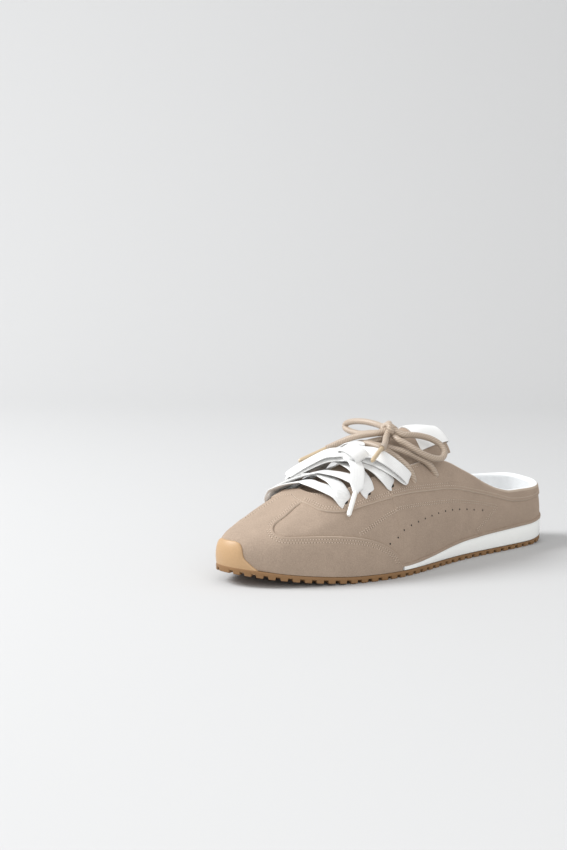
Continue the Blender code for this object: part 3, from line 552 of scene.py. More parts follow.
class Skin:
    """Collects grids of points, with a material slot and a place for its texture, into one mesh."""

    def __init__(self):
        self.points, self.faces, self.slots, self.places, self.count = [], [], [], [], 0

    def grid(self, points, slot=0, places=None):
        rows, columns = points.shape[:2]
        if places is None:
            places = np.stack(np.meshgrid(np.arange(columns), np.arange(rows)), -1) * 1.0
        number = self.count + np.arange(rows * columns).reshape(rows, columns)
        self.points.append(points.reshape(-1, 3))
        self.places.append(places.reshape(-1, 2))
        self.count += rows * columns
        quads = [number[:-1, :-1], number[:-1, 1:], number[1:, 1:], number[1:, :-1]]
        self.faces.append(np.stack(quads, -1).reshape(-1, 4))
        self.slots.append(np.broadcast_to(slot, (rows - 1, columns - 1)).reshape(-1))

    def fan(self, ring, middle, slot=0, place=(0.0, 0.0)):
        """Closes a ring of points with a fan to one in its middle."""
        n = len(ring)
        self.points += [ring, middle[None]]
        self.places.append(np.tile(place, (n + 1, 1)))
        i = self.count + np.arange(n)
        after = self.count + (np.arange(n) + 1) % n
        self.faces.append(np.stack([i, after, 0 * i + self.count + n, 0 * i - 1], -1))
        self.slots.append(np.full(n, slot))
        self.count += n + 1

    def build(self, name, materials, weld=0.004, smooth=50):
        points, places = np.concatenate(self.points), np.concatenate(self.places)
        faces, slots = np.concatenate(self.faces), np.concatenate(self.slots)
        mesh = bpy.data.meshes.new(name)
        rings = [row[row >= 0].tolist() for row in faces]
        mesh.from_pydata(world(points).tolist(), [], rings)
        for made in materials:
            mesh.materials.append(made)
        mesh.polygons.foreach_set("material_index", slots.astype(np.int32))
        layer = mesh.uv_layers.new(name="place")
        corner = np.zeros(len(mesh.loops), np.int32)
        mesh.loops.foreach_get("vertex_index", corner)
        layer.data.foreach_set("uv", places[corner].astype(np.float32).ravel())
        work = bmesh.new()
        work.from_mesh(mesh)
        bmesh.ops.remove_doubles(work, verts=work.verts, dist=weld * MM)
        bmesh.ops.dissolve_degenerate(work, edges=work.edges, dist=weld * MM / 4)
        bmesh.ops.recalc_face_normals(work, faces=work.faces)
        if work.calc_volume(signed=True) < 0:
            bmesh.ops.reverse_faces(work, faces=work.faces)
        work.to_mesh(mesh)
        work.free()
        thing = bpy.data.objects.new(name, mesh)
        bpy.context.scene.collection.objects.link(thing)
        mesh.shade_smooth()
        mesh.set_sharp_from_angle(angle=math.radians(smooth))
        return thing


def dress(thing, *nodes, slot=None):
    """The piece rides on the shoe and is shown in place of these solids."""
    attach(thing, "root")
    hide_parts(*nodes)
    return thing


# Looks

# Colours are linear
SUEDE = (0.355, 0.275, 0.214)
SUEDE_LIGHT = (0.44, 0.345, 0.265)
SUEDE_EDGE = (0.47, 0.38, 0.30)
THREAD = (0.56, 0.45, 0.35)
GUM_TAN = (0.24, 0.130, 0.055)
GUM_PALE = (0.47, 0.300, 0.158)
WHITE_RUBBER = (0.90, 0.91, 0.89)
LINING = (0.80, 0.81, 0.815)
WHITE_LACE = (0.82, 0.82, 0.81)
CORD = (0.36, 0.275, 0.205)
# Painted highlight: the lighter colour mixed into the cord's base colour along its streaks
CORD_PAINTED_HIGHLIGHT = (0.58, 0.48, 0.37)
WHITE_TIP = (0.85, 0.84, 0.80)
CORD_TIP = (0.52, 0.40, 0.25)
# Near black: painted shade for the insides of the punched holes and eyelets
HOLE_SHADE = (0.02, 0.016, 0.013)
FLOOR = (0.55, 0.55, 0.55)


def new_material(name, colour, roughness):
    made = bpy.data.materials.new(name)
    made.use_nodes = True
    shader = made.node_tree.nodes["Principled BSDF"]
    shader.inputs["Base Color"].default_value = (*colour, 1)
    shader.inputs["Roughness"].default_value = roughness
    return made, made.node_tree, shader


def grain_group():
    """Fibre and cloud noise over the shoe in millimetres: a height and a tone."""
    group = bpy.data.node_groups.new("Grain", "ShaderNodeTree")
    face = group.interface
    for name, value in (("Fibre mm", 0.5), ("Cloud mm", 9.0)):
        face.new_socket(name=name, in_out="INPUT", socket_type="NodeSocketFloat").default_value = value
    for name in ("Height", "Tone"):
        face.new_socket(name=name, in_out="OUTPUT", socket_type="NodeSocketFloat")
    nodes, links = group.nodes, group.links
    into, out = nodes.new("NodeGroupInput"), nodes.new("NodeGroupOutput")
    place = nodes.new("ShaderNodeTexCoord")
    for name, socket, detail, answer in (
        ("fibre", "Fibre mm", 4.0, "Height"),
        ("cloud", "Cloud mm", 3.0, "Tone"),
    ):
        scale = nodes.new("ShaderNodeMath")
        scale.operation = "DIVIDE"
        scale.inputs[0].default_value = 1 / MM
        links.new(into.outputs[socket], scale.inputs[1])
        noise = nodes.new("ShaderNodeTexNoise")
        noise.name = name
        noise.inputs["Detail"].default_value = detail
        noise.inputs["Roughness"].default_value = 0.65
        links.new(place.outputs["Object"], noise.inputs["Vector"])
        links.new(scale.outputs[0], noise.inputs["Scale"])
        links.new(noise.outputs["Fac"], out.inputs[answer])
    return group


def weave_group():
    """Threads of a lace from its place around and along it: a height for the bump and a streak mask that
    paints a highlight into the cord's colour and a darker thread tone into the white lace's.
    """
    group = bpy.data.node_groups.new("Weave", "ShaderNodeTree")
    face = group.interface
    for name, value in (("Around", 12.0), ("Along per mm", 2.0)):
        face.new_socket(name=name, in_out="INPUT", socket_type="NodeSocketFloat").default_value = value
    for name in ("Height", "Highlight and tone"):
        face.new_socket(name=name, in_out="OUTPUT", socket_type="NodeSocketFloat")
    nodes, links = group.nodes, group.links
    into, out = nodes.new("NodeGroupInput"), nodes.new("NodeGroupOutput")
    place, split = nodes.new("ShaderNodeUVMap"), nodes.new("ShaderNodeSeparateXYZ")
    place.uv_map = "place"
    links.new(place.outputs["UV"], split.inputs[0])

    def maths(operation, first, second=None):
        node = nodes.new("ShaderNodeMath")
        node.operation = operation
        for socket, value in zip(node.inputs, (first, second)):
            if isinstance(value, (int, float)):
                socket.default_value = value
            elif value is not None:
                links.new(value, socket)
        return node.outputs[0]

    around = maths("MULTIPLY", split.outputs["X"], into.outputs["Around"])
    turns = maths("MULTIPLY", around, 2 * math.pi)
    along = maths("MULTIPLY", split.outputs["Y"], into.outputs["Along per mm"])
    steps = maths("MULTIPLY", along, 2 * math.pi)
    right = maths("SINE", maths("ADD", turns, steps))
    left = maths("SINE", maths("SUBTRACT", turns, steps))
    high = maths("MULTIPLY", maths("ADD", maths("MAXIMUM", right, left), 1.0), 0.5)
    links.new(high, out.inputs["Height"])
    # Narrow streaks: a painted highlight on the cord, a darker thread tone on the white lace
    bright = maths("MAXIMUM", maths("SINE", maths("ADD", maths("MULTIPLY", turns, 0.5), steps)), 0.0)
    links.new(maths("POWER", bright, 3.0), out.inputs["Highlight and tone"])
    return group


def add_grain(tree, shader, group, fibre, cloud, strength, depth, dark, light):
    """Bump and a soft change of tone from the grain group."""
    nodes, links = tree.nodes, tree.links
    grain = nodes.new("ShaderNodeGroup")
    grain.node_tree = group
    grain.inputs["Fibre mm"].default_value = fibre
    grain.inputs["Cloud mm"].default_value = cloud
    bump = nodes.new("ShaderNodeBump")
    bump.inputs["Strength"].default_value = strength
    bump.inputs["Distance"].default_value = depth * MM
    links.new(grain.outputs["Height"], bump.inputs["Height"])
    links.new(bump.outputs["Normal"], shader.inputs["Normal"])
    fine = nodes.new("ShaderNodeMix")
    fine.data_type = "FLOAT"
    fine.inputs["Factor"].default_value = 0.72
    links.new(grain.outputs["Tone"], fine.inputs["A"])
    links.new(grain.outputs["Height"], fine.inputs["B"])
    ramp = nodes.new("ShaderNodeValToRGB")
    ramp.color_ramp.elements[0].position = 0.34
    ramp.color_ramp.elements[0].color = (*dark, 1)
    ramp.color_ramp.elements[1].position = 0.66
    ramp.color_ramp.elements[1].color = (*light, 1)
    links.new(fine.outputs["Result"], ramp.inputs["Fac"])
    links.new(ramp.outputs["Color"], shader.inputs["Base Color"])


def shade(colour, share):
    return tuple(min(c * share, 1.0) for c in colour)


def make_looks():
    grain, weave = grain_group(), weave_group()
    looks = {}

    def grained(name, colour, roughness, fibre, cloud, strength, depth, spread=0.10):
        made, tree, shader = new_material(name, colour, roughness)
        dark, light = shade(colour, 1 - spread), shade(colour, 1 + spread)
        add_grain(tree, shader, grain, fibre, cloud, strength, depth, dark, light)
        looks[name] = made
        return shader

    suede = grained("suede", SUEDE, 0.95, 0.75, 16.0, 0.6, 0.35, 0.15)
    suede.inputs["Sheen Weight"].default_value = 0.45
    suede.inputs["Sheen Roughness"].default_value = 0.45
    suede.inputs["Sheen Tint"].default_value = (*SUEDE_LIGHT, 1)
    suede.inputs["Specular IOR Level"].default_value = 0.15
    grained("suede edge", SUEDE_EDGE, 0.95, 0.4, 5.0, 0.5, 0.2, 0.12)
    gum = grained("gum", GUM_TAN, 0.55, 0.6, 20.0, 0.25, 0.12, 0.07)
    gum.inputs["Specular IOR Level"].default_value = 0.35
    pale = grained("gum bumper", GUM_PALE, 0.42, 0.9, 25.0, 0.18, 0.10, 0.05)
    pale.inputs["Specular IOR Level"].default_value = 0.4
    rubber = grained("white rubber", WHITE_RUBBER, 0.5, 0.9, 30.0, 0.15, 0.08, 0.02)
    rubber.inputs["Specular IOR Level"].default_value = 0.4
    lining = grained("lining", LINING, 0.85, 0.7, 12.0, 0.35, 0.2, 0.03)
    lining.inputs["Sheen Weight"].default_value = 0.2
    grained("label", WHITE_LACE, 0.7, 0.5, 10.0, 0.3, 0.1, 0.02)
    # Painted shade for the punched holes and eyelets
    looks["painted hole shade"] = new_material("painted hole shade", HOLE_SHADE, 1.0)[0]
    # Darkened suede: painted shade in the needle holes beside the stitches
    looks["needle painted hole shade"] = new_material("needle painted hole shade", shade(SUEDE, 0.35), 1.0)[0]
    thread = new_material("thread", THREAD, 0.6)
    thread[2].inputs["Sheen Weight"].default_value = 0.3
    looks["thread"] = thread[0]
    for name, colour, highlight_and_tone, around, along, rough, depth in (
        ("white lace", WHITE_LACE, shade(WHITE_LACE, 0.93), 11.0, 0.9, 0.75, 0.18),
        ("cord", CORD, CORD_PAINTED_HIGHLIGHT, 10.0, 0.55, 0.38, 0.13),
    ):
        made, tree, shader = new_material(name, colour, rough)
        threads = tree.nodes.new("ShaderNodeGroup")
        threads.node_tree = weave
        threads.inputs["Around"].default_value = around
        threads.inputs["Along per mm"].default_value = along
        bump = tree.nodes.new("ShaderNodeBump")
        bump.inputs["Strength"].default_value = 0.8
        bump.inputs["Distance"].default_value = depth * MM
        tree.links.new(threads.outputs["Height"], bump.inputs["Height"])
        tree.links.new(bump.outputs["Normal"], shader.inputs["Normal"])
        # Base colour from the lace's own colour to the streak colour: a painted highlight on the cord, a
        # darker thread tone on the white lace
        mix = tree.nodes.new("ShaderNodeMix")
        mix.data_type = "RGBA"
        mix.inputs["A"].default_value = (*colour, 1)
        mix.inputs["B"].default_value = (*highlight_and_tone, 1)
        tree.links.new(threads.outputs["Highlight and tone"], mix.inputs["Factor"])
        tree.links.new(mix.outputs["Result"], shader.inputs["Base Color"])
        shader.inputs["Sheen Weight"].default_value = 0.25
        looks[name] = made
    looks["cord"].node_tree.nodes["Principled BSDF"].inputs["Specular IOR Level"].default_value = 0.7
    for key, name, colour, rough in (
        ("white tip", "clear tip", WHITE_TIP, 0.25),
        ("cord tip", "cord tip", CORD_TIP, 0.28),
    ):
        made, _, shader = new_material(name, colour, rough)
        shader.inputs["Coat Weight"].default_value = 0.6
        looks[key] = made
    return looks


# Relief of the upper

SECOND_LAYER = 0.55
# The usual girth from the sole's edge to the ridge: for the overlays' edges, for the side's lines and creases
EDGE_GIRTH, SIDE_GIRTH = 105.0, 110.0
# Rows of stitches: millimetres from the overlays' edges, the eyestay's front, the throat and a line's middle
STITCH_ROWS, STAY_ROW, THROAT_ROW, TWIN_ROW = (2.1, 3.9), 2.2, 2.6, 0.75
# How deep the rows are pressed in, along the overlays' edges and the eyestay's front, and how wide
ROW_DEEP, STAY_ROW_DEEP, ROW_WIDE = 0.16, 0.14, 0.5
# The pressed line at the foot of an overlay's step: how deep and how wide
FOOT_DEEP, FOOT_WIDE = 0.22, 0.8
# The eyestay's front edge over the toe strip: k at the ridge, k at its corner, and the corner's drop in w
STAY_FRONT, STAY_CORNER, STAY_DROP = 0.176, 0.189, 0.177
# The stay's front row is pressed in above this w and ahead of this k
STRIP_LOW, STRIP_END = 0.80, 0.24
# The stay's second layer starts to rise at this w and is full at the next
STAY_LOW, STAY_FULL = 0.70, 0.82
# The collar's pad starts at this k and is full after this much more
PAD_FROM, PAD_RUN = 0.60, 0.12
# Soft creases of the side: k, w, way of the crease, its half length, half width and depth
CREASES = [
    (0.665, 0.13, 0.95, 16.0, 5.0, 0.55),
    (0.700, 0.13, 1.10, 15.0, 4.5, -0.45),
    (0.640, 0.10, 0.80, 13.0, 4.0, -0.35),
    (0.905, 0.12, 1.40, 14.0, 7.0, 0.30),
    (0.270, 0.40, 0.35, 18.0, 7.0, 0.25),
    (0.205, 0.42, 0.20, 14.0, 6.0, -0.20),
]


def from_line(points, line):
    """Distance of each point from a fine line of points, square to the line where it can be."""
    along = unit(np.gradient(line, axis=0))
    flat = points.reshape(-1, 3)
    answer = np.empty(len(flat))
    for start in range(0, len(flat), 4000):
        part = flat[start : start + 4000]
        nearest = ((part[:, None] - line[None]) ** 2).sum(2).argmin(1)
        gap = part - line[nearest]
        gap = gap - (gap * along[nearest]).sum(1, keepdims=True) * along[nearest]
        answer[start : start + 4000] = np.linalg.norm(gap, axis=1)
    return answer.reshape(points.shape[:-1])


def edge_line(table, start, stop, count=260):
    """k and w along one of the overlay edges, evenly over its bends."""
    at = edge_through(table)
    fine = start + (stop - start) * np.linspace(0, 1, 4000) ** 2
    w = at(fine)
    along = np.concatenate([[0], np.hypot(np.diff(fine) * EDGE_LENGTH, np.diff(w) * EDGE_GIRTH).cumsum()])
    pick = np.linspace(0, along[-1], count)
    return np.interp(pick, along, fine), np.interp(pick, along, w)


def past_edges(side, k, w):
    """Millimetres past the side panel's edges, positive on the toe piece, eyestay and band."""
    points = form(side, k, w)
    ahead = k[:, None] < TIP[0]
    answer = []
    edges = (
        (WING, WING_END, w < WING_AT(k)[:, None]),
        (BAND, 1.0, w > BAND_AT(k)[:, None]),
    )
    for table, stop, beyond in edges:
        line_k, line_w = edge_line(table, TIP[0], stop, 420)
        gap = from_line(points, form(side, line_k, line_w[:, None])[:, 0])
        answer.append(np.where(ahead | beyond, gap, -gap))
    return answer


def stay_front(w):
    """k of the eyestay's front edge over the toe strip."""
    return STAY_FRONT + (STAY_CORNER - STAY_FRONT) * np.clip((1 - w) / STAY_DROP, 0, 1) ** 2


def relief(side, k, w):
    """Height of the suede over the form: overlays, their pressed stitch rows and the worn-in creases."""
    low, high = past_edges(side, k, w)
    past = np.maximum(low, high)
    height = OVERLAY * ease(past, -0.28, 0.32)
    near = ease(past, 0.2, 1.0) * (1 - ease(past, 5.0, 7.0))
    for row in STITCH_ROWS:
        height = height - ROW_DEEP * near * np.exp(-(((past - row) / ROW_WIDE) ** 2))
    height = height - FOOT_DEEP * np.exp(-((past / FOOT_WIDE) ** 2)) * (past < -0.25)
    second = (k[:, None] - stay_front(w)) * EDGE_LENGTH
    on_strip = (w > STRIP_LOW) & (k[:, None] < STRIP_END)
    layer = SECOND_LAYER * ease(second, -0.3, 0.35) * ease(w, STAY_LOW, STAY_FULL)
    height = height + np.where(w > STAY_LOW, layer, 0)
    pressed = STAY_ROW_DEEP * np.exp(-(((second - STAY_ROW) / ROW_WIDE) ** 2))
    height = height - np.where(on_strip, pressed, 0)
    for centre, across, way, long, wide, deep in CREASES:
        dk, dw = (k[:, None] - centre) * EDGE_LENGTH, (w - across) * SIDE_GIRTH
        run = dk * math.cos(way) + dw * math.sin(way)
        off = dw * math.cos(way) - dk * math.sin(way)
        height = height - deep * np.exp(-((run / long) ** 2) - (off / wide) ** 2)
    return height


def skin_columns():
    """k of the upper's columns, close together where an edge turns."""
    knots = [0, 0.09, 0.098, 0.112, 0.125, 0.18, 0.25, 0.40, 0.412, 0.65, 1.0]
    counts = [34, 10, 26, 12, 26, 46, 60, 8, 66, 80]
    spans = [np.linspace(a, b, n, endpoint=False) for a, b, n in zip(knots, knots[1:], counts)]
    return np.unique(np.concatenate([*spans, [1.0, THROAT]]))


# Rows of the suede between the sole and the lower edge, between the two edges and up to the topline
FOOT_ROWS, MIDDLE_ROWS, TOP_ROWS = 9, 20, 21
# Rows beside each overlay's edge, in millimetres past it: close together on its step and its stitches
STEP_ROWS = [-1.6, -0.8, -0.35, -0.15, 0.0, 0.15, 0.35, 0.8]
STITCHED_ROWS = [1.5, 2.1, 2.7, 3.3, 3.9, 4.6, 5.6, 7.0]
EDGE_STEPS = np.array(STEP_ROWS + STITCHED_ROWS)
# Rows of the lining, as shares of the way up to the topline
LINING_ROWS = [1.0, 0.985, 0.95, 0.90, 0.83, 0.74, 0.64, 0.54, 0.44, 0.34, 0.24, 0.14, 0.05, 0.0]


def skin_rows(side, k, top):
    """w of the upper's rows at each k: fixed steps in millimetres past each edge, even between."""
    ribs = form(side, k, np.tile(np.linspace(0, 1, 9), (len(k), 1)))
    girth = np.linalg.norm(np.diff(ribs, axis=1), axis=2).sum(1)
    low, high = np.minimum(WING_AT(k), BAND_AT(k)), np.maximum(WING_AT(k), BAND_AT(k))
    high = np.minimum(high, top - 0.02)
    steps = EDGE_STEPS[None] / girth[:, None]
    under, over = low[:, None] - steps[:, ::-1], high[:, None] + steps
    gap = over[:, 0] - under[:, -1]
    middle = under[:, -1:] + gap[:, None] * np.linspace(0, 1, MIDDLE_ROWS + 2)[None, 1:-1]
    foot = np.maximum(under[:, :1], 0.01) * np.linspace(0, 1, FOOT_ROWS + 1)[None, :-1]
    last = np.minimum(over[:, -1:], top[:, None] - 0.01)
    up = last + (top[:, None] - last) * np.linspace(0, 1, TOP_ROWS + 1)[None, 1:]
    w = np.concatenate([foot, under, middle, over, up], axis=1)
    least = 0.0006
    for j in range(1, w.shape[1] - 1):
        w[:, j] = np.maximum(w[:, j], w[:, j - 1] + least)
    w[:, -1] = top
    for j in range(w.shape[1] - 2, 0, -1):
        w[:, j] = np.minimum(w[:, j], w[:, j + 1] - least)
    return w


def on_suede(side, k, w, lift=0.0):
    """Points on the finished suede and the directions out of it."""
    k, w = np.asarray(k, float), np.asarray(w, float)
    out = form_normals(side, k, w[:, None])[:, 0]
    base = form(side, k, w[:, None])[:, 0]
    return base + out * (relief(side, k, w[:, None])[:, 0] + lift)[:, None], out


def cut_edges(k, w):
    """Slot of each face of the suede: the pale cut edge on the steps of the overlays, else the nap."""
    slots = np.zeros((len(k) - 1, w.shape[1] - 1), int)
    panel, step = k[:-1] >= TIP[0], np.flatnonzero(np.abs(EDGE_STEPS[:-1]) < 0.2)
    past_low = FOOT_ROWS + len(EDGE_STEPS)
    low, high = past_low - 2 - step, past_low + MIDDLE_ROWS + step
    slots[np.ix_(panel & (k[:-1] < WING_END), low)] = 2
    slots[np.ix_(panel, high)] = 2
    return slots


def make_upper(looks):
    """The suede skin with its overlays, the rolled topline and the white lining."""
    skin = Skin()
    k = skin_columns()
    for side in (LATERAL, MEDIAL):
        closed = k <= THROAT
        top = np.where(closed, 1.0, TOP_AT[side](k))
        padded = np.clip((k - PAD_FROM) / PAD_RUN, 0, 1)
        rim = np.where(closed, 0.0, WALL / 2 + COLLAR_PAD / 2 * padded)
        top = np.where(closed, 1.0, top - rim * 0.8 / EDGE_GIRTH)
        w = skin_rows(side, k, top)
        out = form_normals(side, k, w)
        outer = form(side, k, w) + out * relief(side, k, w)[..., None]
        skin.grid(outer, cut_edges(k, w))
        v = top[:, None] * np.array(LINING_ROWS)
        near_top = np.clip(1 - (top[:, None] - v) / 0.14, 0, 1)
        thick = WALL + COLLAR_PAD * padded[:, None] * near_top
        inner = form(side, k, v) - form_normals(side, k, v) * thick[..., None]
        skin.grid(inner, 1)
        open_k = np.flatnonzero(~closed)
        a, b = outer[open_k, -1], inner[open_k, 0]
        rise = unit(outer[open_k, -1] - outer[open_k, -4])
        middle, half = (a + b) / 2, np.linalg.norm(a - b, axis=1, keepdims=True) / 2
        turn = np.linspace(0, math.pi, 9)
        lip = [middle + np.cos(t) * (a - middle) + np.sin(t) * rise * half * 0.9 for t in turn]
        slots = np.array([2, 2, 1, 1, 1, 1, 1, 1])
        skin.grid(np.stack(lip, 1), np.broadcast_to(slots, (len(open_k) - 1, len(slots))))
    materials = [looks[name] for name in ("suede", "lining", "suede edge")]
    return dress(skin.build("upper_skin", materials, weld=0.01, smooth=60), "upper")


# Seams

def slide(side, k, w, push):
    """k and w of points on the form after a push of some millimetres along it."""
    e = 0.001
    w2 = w[:, None]
    along = (form(side, k + e, w2)[:, 0] - form(side, k - e, w2)[:, 0]) / (2 * e)
    up = (form(side, k, w2 + e)[:, 0] - form(side, k, w2 - e)[:, 0]) / (2 * e)
    aa, ab, bb = (along**2).sum(1), (along * up).sum(1), (up**2).sum(1)
    pa, pb = (push * along).sum(1), (push * up).sum(1)
    det = aa * bb - ab**2
    return k + (pa * bb - pb * ab) / det, w + (pb * aa - pa * ab) / det


def beside(side, k, w, offset):
    """The line some millimetres to the left of a line on the form, seen from outside."""
    points = form(side, k, w[:, None])[:, 0]
    out = form_normals(side, k, w[:, None])[:, 0]
    run = unit(np.gradient(points, axis=0))
    return slide(side, k, w, np.cross(out, run) * offset)


def even(points, *others, pitch):
    """The points and what goes with them, resampled at an even pitch along the line."""
    along = travel(points)
    places = np.arange(pitch / 2, along[-1], pitch)

    def pick(values):
        return np.stack([np.interp(places, along, values[:, i]) for i in range(values.shape[1])], -1)

    return (pick(points), *(pick(v) for v in others))


STITCH_LONG, STITCH_WIDE, STITCH_PITCH, NEEDLE_HOLE = 1.25, 0.5, 1.9, 0.55
# A stitch's sections: share of its half length, share of its width, height
STITCH_SHAPE = [
    (-1.0, 0.25, -0.14),
    (-0.72, 0.85, 0.0),
    (0.0, 1.0, 0.08),
    (0.72, 0.85, 0.0),
    (1.0, 0.25, -0.14),
]


class Stitches:
    """Short sunk threads, all in one mesh."""

    def __init__(self):
        self.middles, self.runs, self.outs = [], [], []

    def row(self, side, k, w, offset=0.0):
        if offset:
            k, w = beside(side, k, w, offset)
        points, out = on_suede(side, k, w, 0.02)
        run = np.gradient(points, axis=0)
        points, run, out = even(points, run, out, pitch=STITCH_PITCH)
        self.middles.append(points)
        self.runs.append(unit(run))
        self.outs.append(unit(out))

    def build(self, looks):
        middle, run, out = (np.concatenate(v) for v in (self.middles, self.runs, self.outs))
        across = unit(np.cross(out, run))
        out = np.cross(run, across)
        skin = Skin()
        turn = np.linspace(0, 2 * math.pi, 7)
        for m, r, a, o in zip(middle, run, across, out):
            ring = np.cos(turn)[:, None] * a + np.sin(turn)[:, None] * o * 0.8
            rings = [
                m + r * x * STITCH_LONG / 2 + o * up + size * STITCH_WIDE / 2 * ring
                for x, size, up in STITCH_SHAPE
            ]
            skin.grid(np.array(rings))
        # At each stitch's end a disc of darkened suede over a shallow dimple: painted shade in the needle
        # hole
        for m, r, a, o in zip(middle, run, across, out):
            pit = m + r * STITCH_PITCH / 2 + o * 0.03
            ring = pit + NEEDLE_HOLE / 2 * (np.cos(turn)[:-1, None] * a + np.sin(turn)[:-1, None] * r)
            skin.fan(ring, pit + o * 0.05, 1)
            skin.fan(ring[::-1], pit - o * 0.2, 1)
        thing = skin.build("stitches", [looks["thread"], looks["needle painted hole shade"]], weld=0.001, smooth=180)
        return dress(thing, slot="upper")


# Lines of stitches and holes on the side: k, w
SIDE_LINE = [
    (0.301, 0.288),
    (0.349, 0.340),
    (0.394, 0.375),
    (0.439, 0.367),
    (0.519, 0.323),
    (0.604, 0.275),
    (0.682, 0.225),
    (0.739, 0.182),
    (0.752, 0.172),
    (0.750, 0.158),
    (0.741, 0.145),
    (0.720, 0.103),
    (0.696, 0.068),
    (0.684, 0.045),
]
HOLE_LINE = [(0.376, 0.180), (0.439, 0.240), (0.549, 0.240), (0.630, 0.208), (0.704, 0.165)]
HOLES, HOLE_WIDE = 14, 1.25


def smooth_line(rows, count):
    """Points on a smooth curve through a table of k and w rows."""
    table = np.array(rows, float)
    scaled = table * (EDGE_LENGTH, SIDE_GIRTH)
    level = np.column_stack([scaled, 0 * scaled[:, 0]])
    points = open_curve(level, 0.5)[:, :2] / (EDGE_LENGTH, SIDE_GIRTH)
    pick = np.linspace(0, len(points) - 1, count)
    return tuple(np.interp(pick, np.arange(len(points)), points[:, i]) for i in (0, 1))


def make_stitches(looks):
    stitches = Stitches()
    for side in (LATERAL, MEDIAL):
        turn = -1 if side == LATERAL else 1
        wing = edge_line(WING, TIP[0] + 0.0002, WING_END - 0.006)
        strip = edge_line(BAND, TIP[0] + 0.0002, 0.187)
        stay = edge_line(BAND, 0.193, 0.998, 600)
        for offset in STITCH_ROWS:
            stitches.row(side, *wing, offset * turn)
            stitches.row(side, *strip, -offset * turn)
        stitches.row(side, *stay, -STITCH_ROWS[0] * turn)
        front = stay[0] < 0.60
        stitches.row(side, stay[0][front], stay[1][front], -STITCH_ROWS[1] * turn)
        w = np.linspace(0.835, 1.0, 60)
        stitches.row(side, stay_front(w) + STAY_ROW / EDGE_LENGTH, w)
        for offset in (-TWIN_ROW, TWIN_ROW):
            stitches.row(side, *smooth_line(SIDE_LINE, 260), offset)
        throat = np.linspace(THROAT + 0.012, 0.56, 200)
        stitches.row(side, throat, TOP_AT[side](throat) - THROAT_ROW / EDGE_GIRTH)
    return stitches.build(looks)


def make_holes(looks):
    """The row of small punched holes and the eyelets, as near-black discs laid on the suede: painted shade
    for the inside of each hole.
    """
    skin = Skin()
    turn = np.linspace(0, 2 * math.pi, 17)

    def pit(side, k, w, wide):
        centre, out = (v[0] for v in on_suede(side, np.array([k]), np.array([w]), 0.0))
        a = unit(np.cross(out, (0.0, 0.0, 1.0)))
        b = np.cross(out, a)
        ring = np.cos(turn)[:, None] * a + np.sin(turn)[:, None] * b
        rows = [(0.5, 0.05), (0.46, 0.07), (0.30, 0.03), (0.02, 0.02)]
        skin.grid(np.array([centre + ring * wide * r + out * up for r, up in rows]))

    for side in (LATERAL, MEDIAL):
        k, w = smooth_line(HOLE_LINE, 400)
        points = form(side, k, w[:, None])[:, 0]
        along = travel(points)
        for place in np.linspace(0, along[-1], HOLES):
            pit(side, np.interp(place, along, k), np.interp(place, along, w), HOLE_WIDE)
        for i in range(len(EYELETS)):
            pit(side, EYELETS[i][side], EYELETS[i][2], EYELET)
    return dress(skin.build("punched_holes", [looks["painted hole shade"]], weld=0.001, smooth=180), slot="upper")


# Sole, insole, tongue and label

def rings_at(k, rings):
    """Rows of points around a slab at each k, from (side, inset, height over s) rows."""
    grid = np.zeros((len(k), len(rings), 3))
    for j, (side, inset, height) in enumerate(rings):
        edge, inward = edge_at(side, k)
        point = edge + inward * np.broadcast_to(inset, k.shape)[:, None]
        grid[:, j] = np.column_stack([point, height(edge[:, 0])])
    return grid


def closed(grid):
    return np.concatenate([grid, grid[:, :1]], axis=1)


# One lug and its groove: share of the pitch, share of the groove's depth
LUG_SHAPE = [
    (0.02, 1.0),
    (0.06, 0.5),
    (0.10, 0.0),
    (0.30, 0.0),
    (0.50, 0.0),
    (0.64, 0.0),
    (0.68, 0.5),
    (0.72, 1.0),
    (0.86, 1.0),
]


def make_outsole(looks):
    """The gum sole: lugs with sloped flanks along both edges and a smooth side above them."""
    count = round(EDGE_LENGTH / LUG_PITCH)
    k, groove = [0.0], [0.0]
    for i in range(count):
        for share, low in LUG_SHAPE:
            place = (i + share) / count
            if 0.004 < place < 0.996:
                k.append(place)
                groove.append(low)
    k, groove = np.array([*k, 1.0]), np.array([*groove, 0.0])

    def side_rings(side):
        def tread(s):
            return tread_z(s) + LUG_DEPTH * groove

        rows = [
            (0.75, gum_top),
            (0.30, lambda s: gum_top(s) - 0.12),
            (0.08, lambda s: gum_top(s) - 0.45),
            (0.0, lambda s: gum_top(s) * 0.6 + (tread_z(s) + LUG_DEPTH + 0.5) * 0.4),
            (0.0, lambda s: tread_z(s) + LUG_DEPTH + 0.5),
            (0.10 + 0.55 * groove, lambda s: tread(s) + 0.35),
            (0.45 + 0.55 * groove, tread),
            (6.0, tread),
        ]
        return [(side, inset, height) for inset, height in rows]

    skin = Skin()
    skin.grid(closed(rings_at(k, side_rings(LATERAL) + side_rings(MEDIAL)[::-1])))
    return dress(skin.build("gum_sole", [looks["gum"]], smooth=35), "outsole")


# Share of the way up the bumper, its reach from the middle of the toe in k
BUMPER_REACH = [(0.0, 0.092), (0.2, 0.066), (0.4, 0.050), (0.75, 0.043), (0.92, 0.036), (1.0, 0.024)]
# w of the bumper's lowest and highest edges
BUMPER_FOOT, BUMPER_RISE = -0.035, 0.335


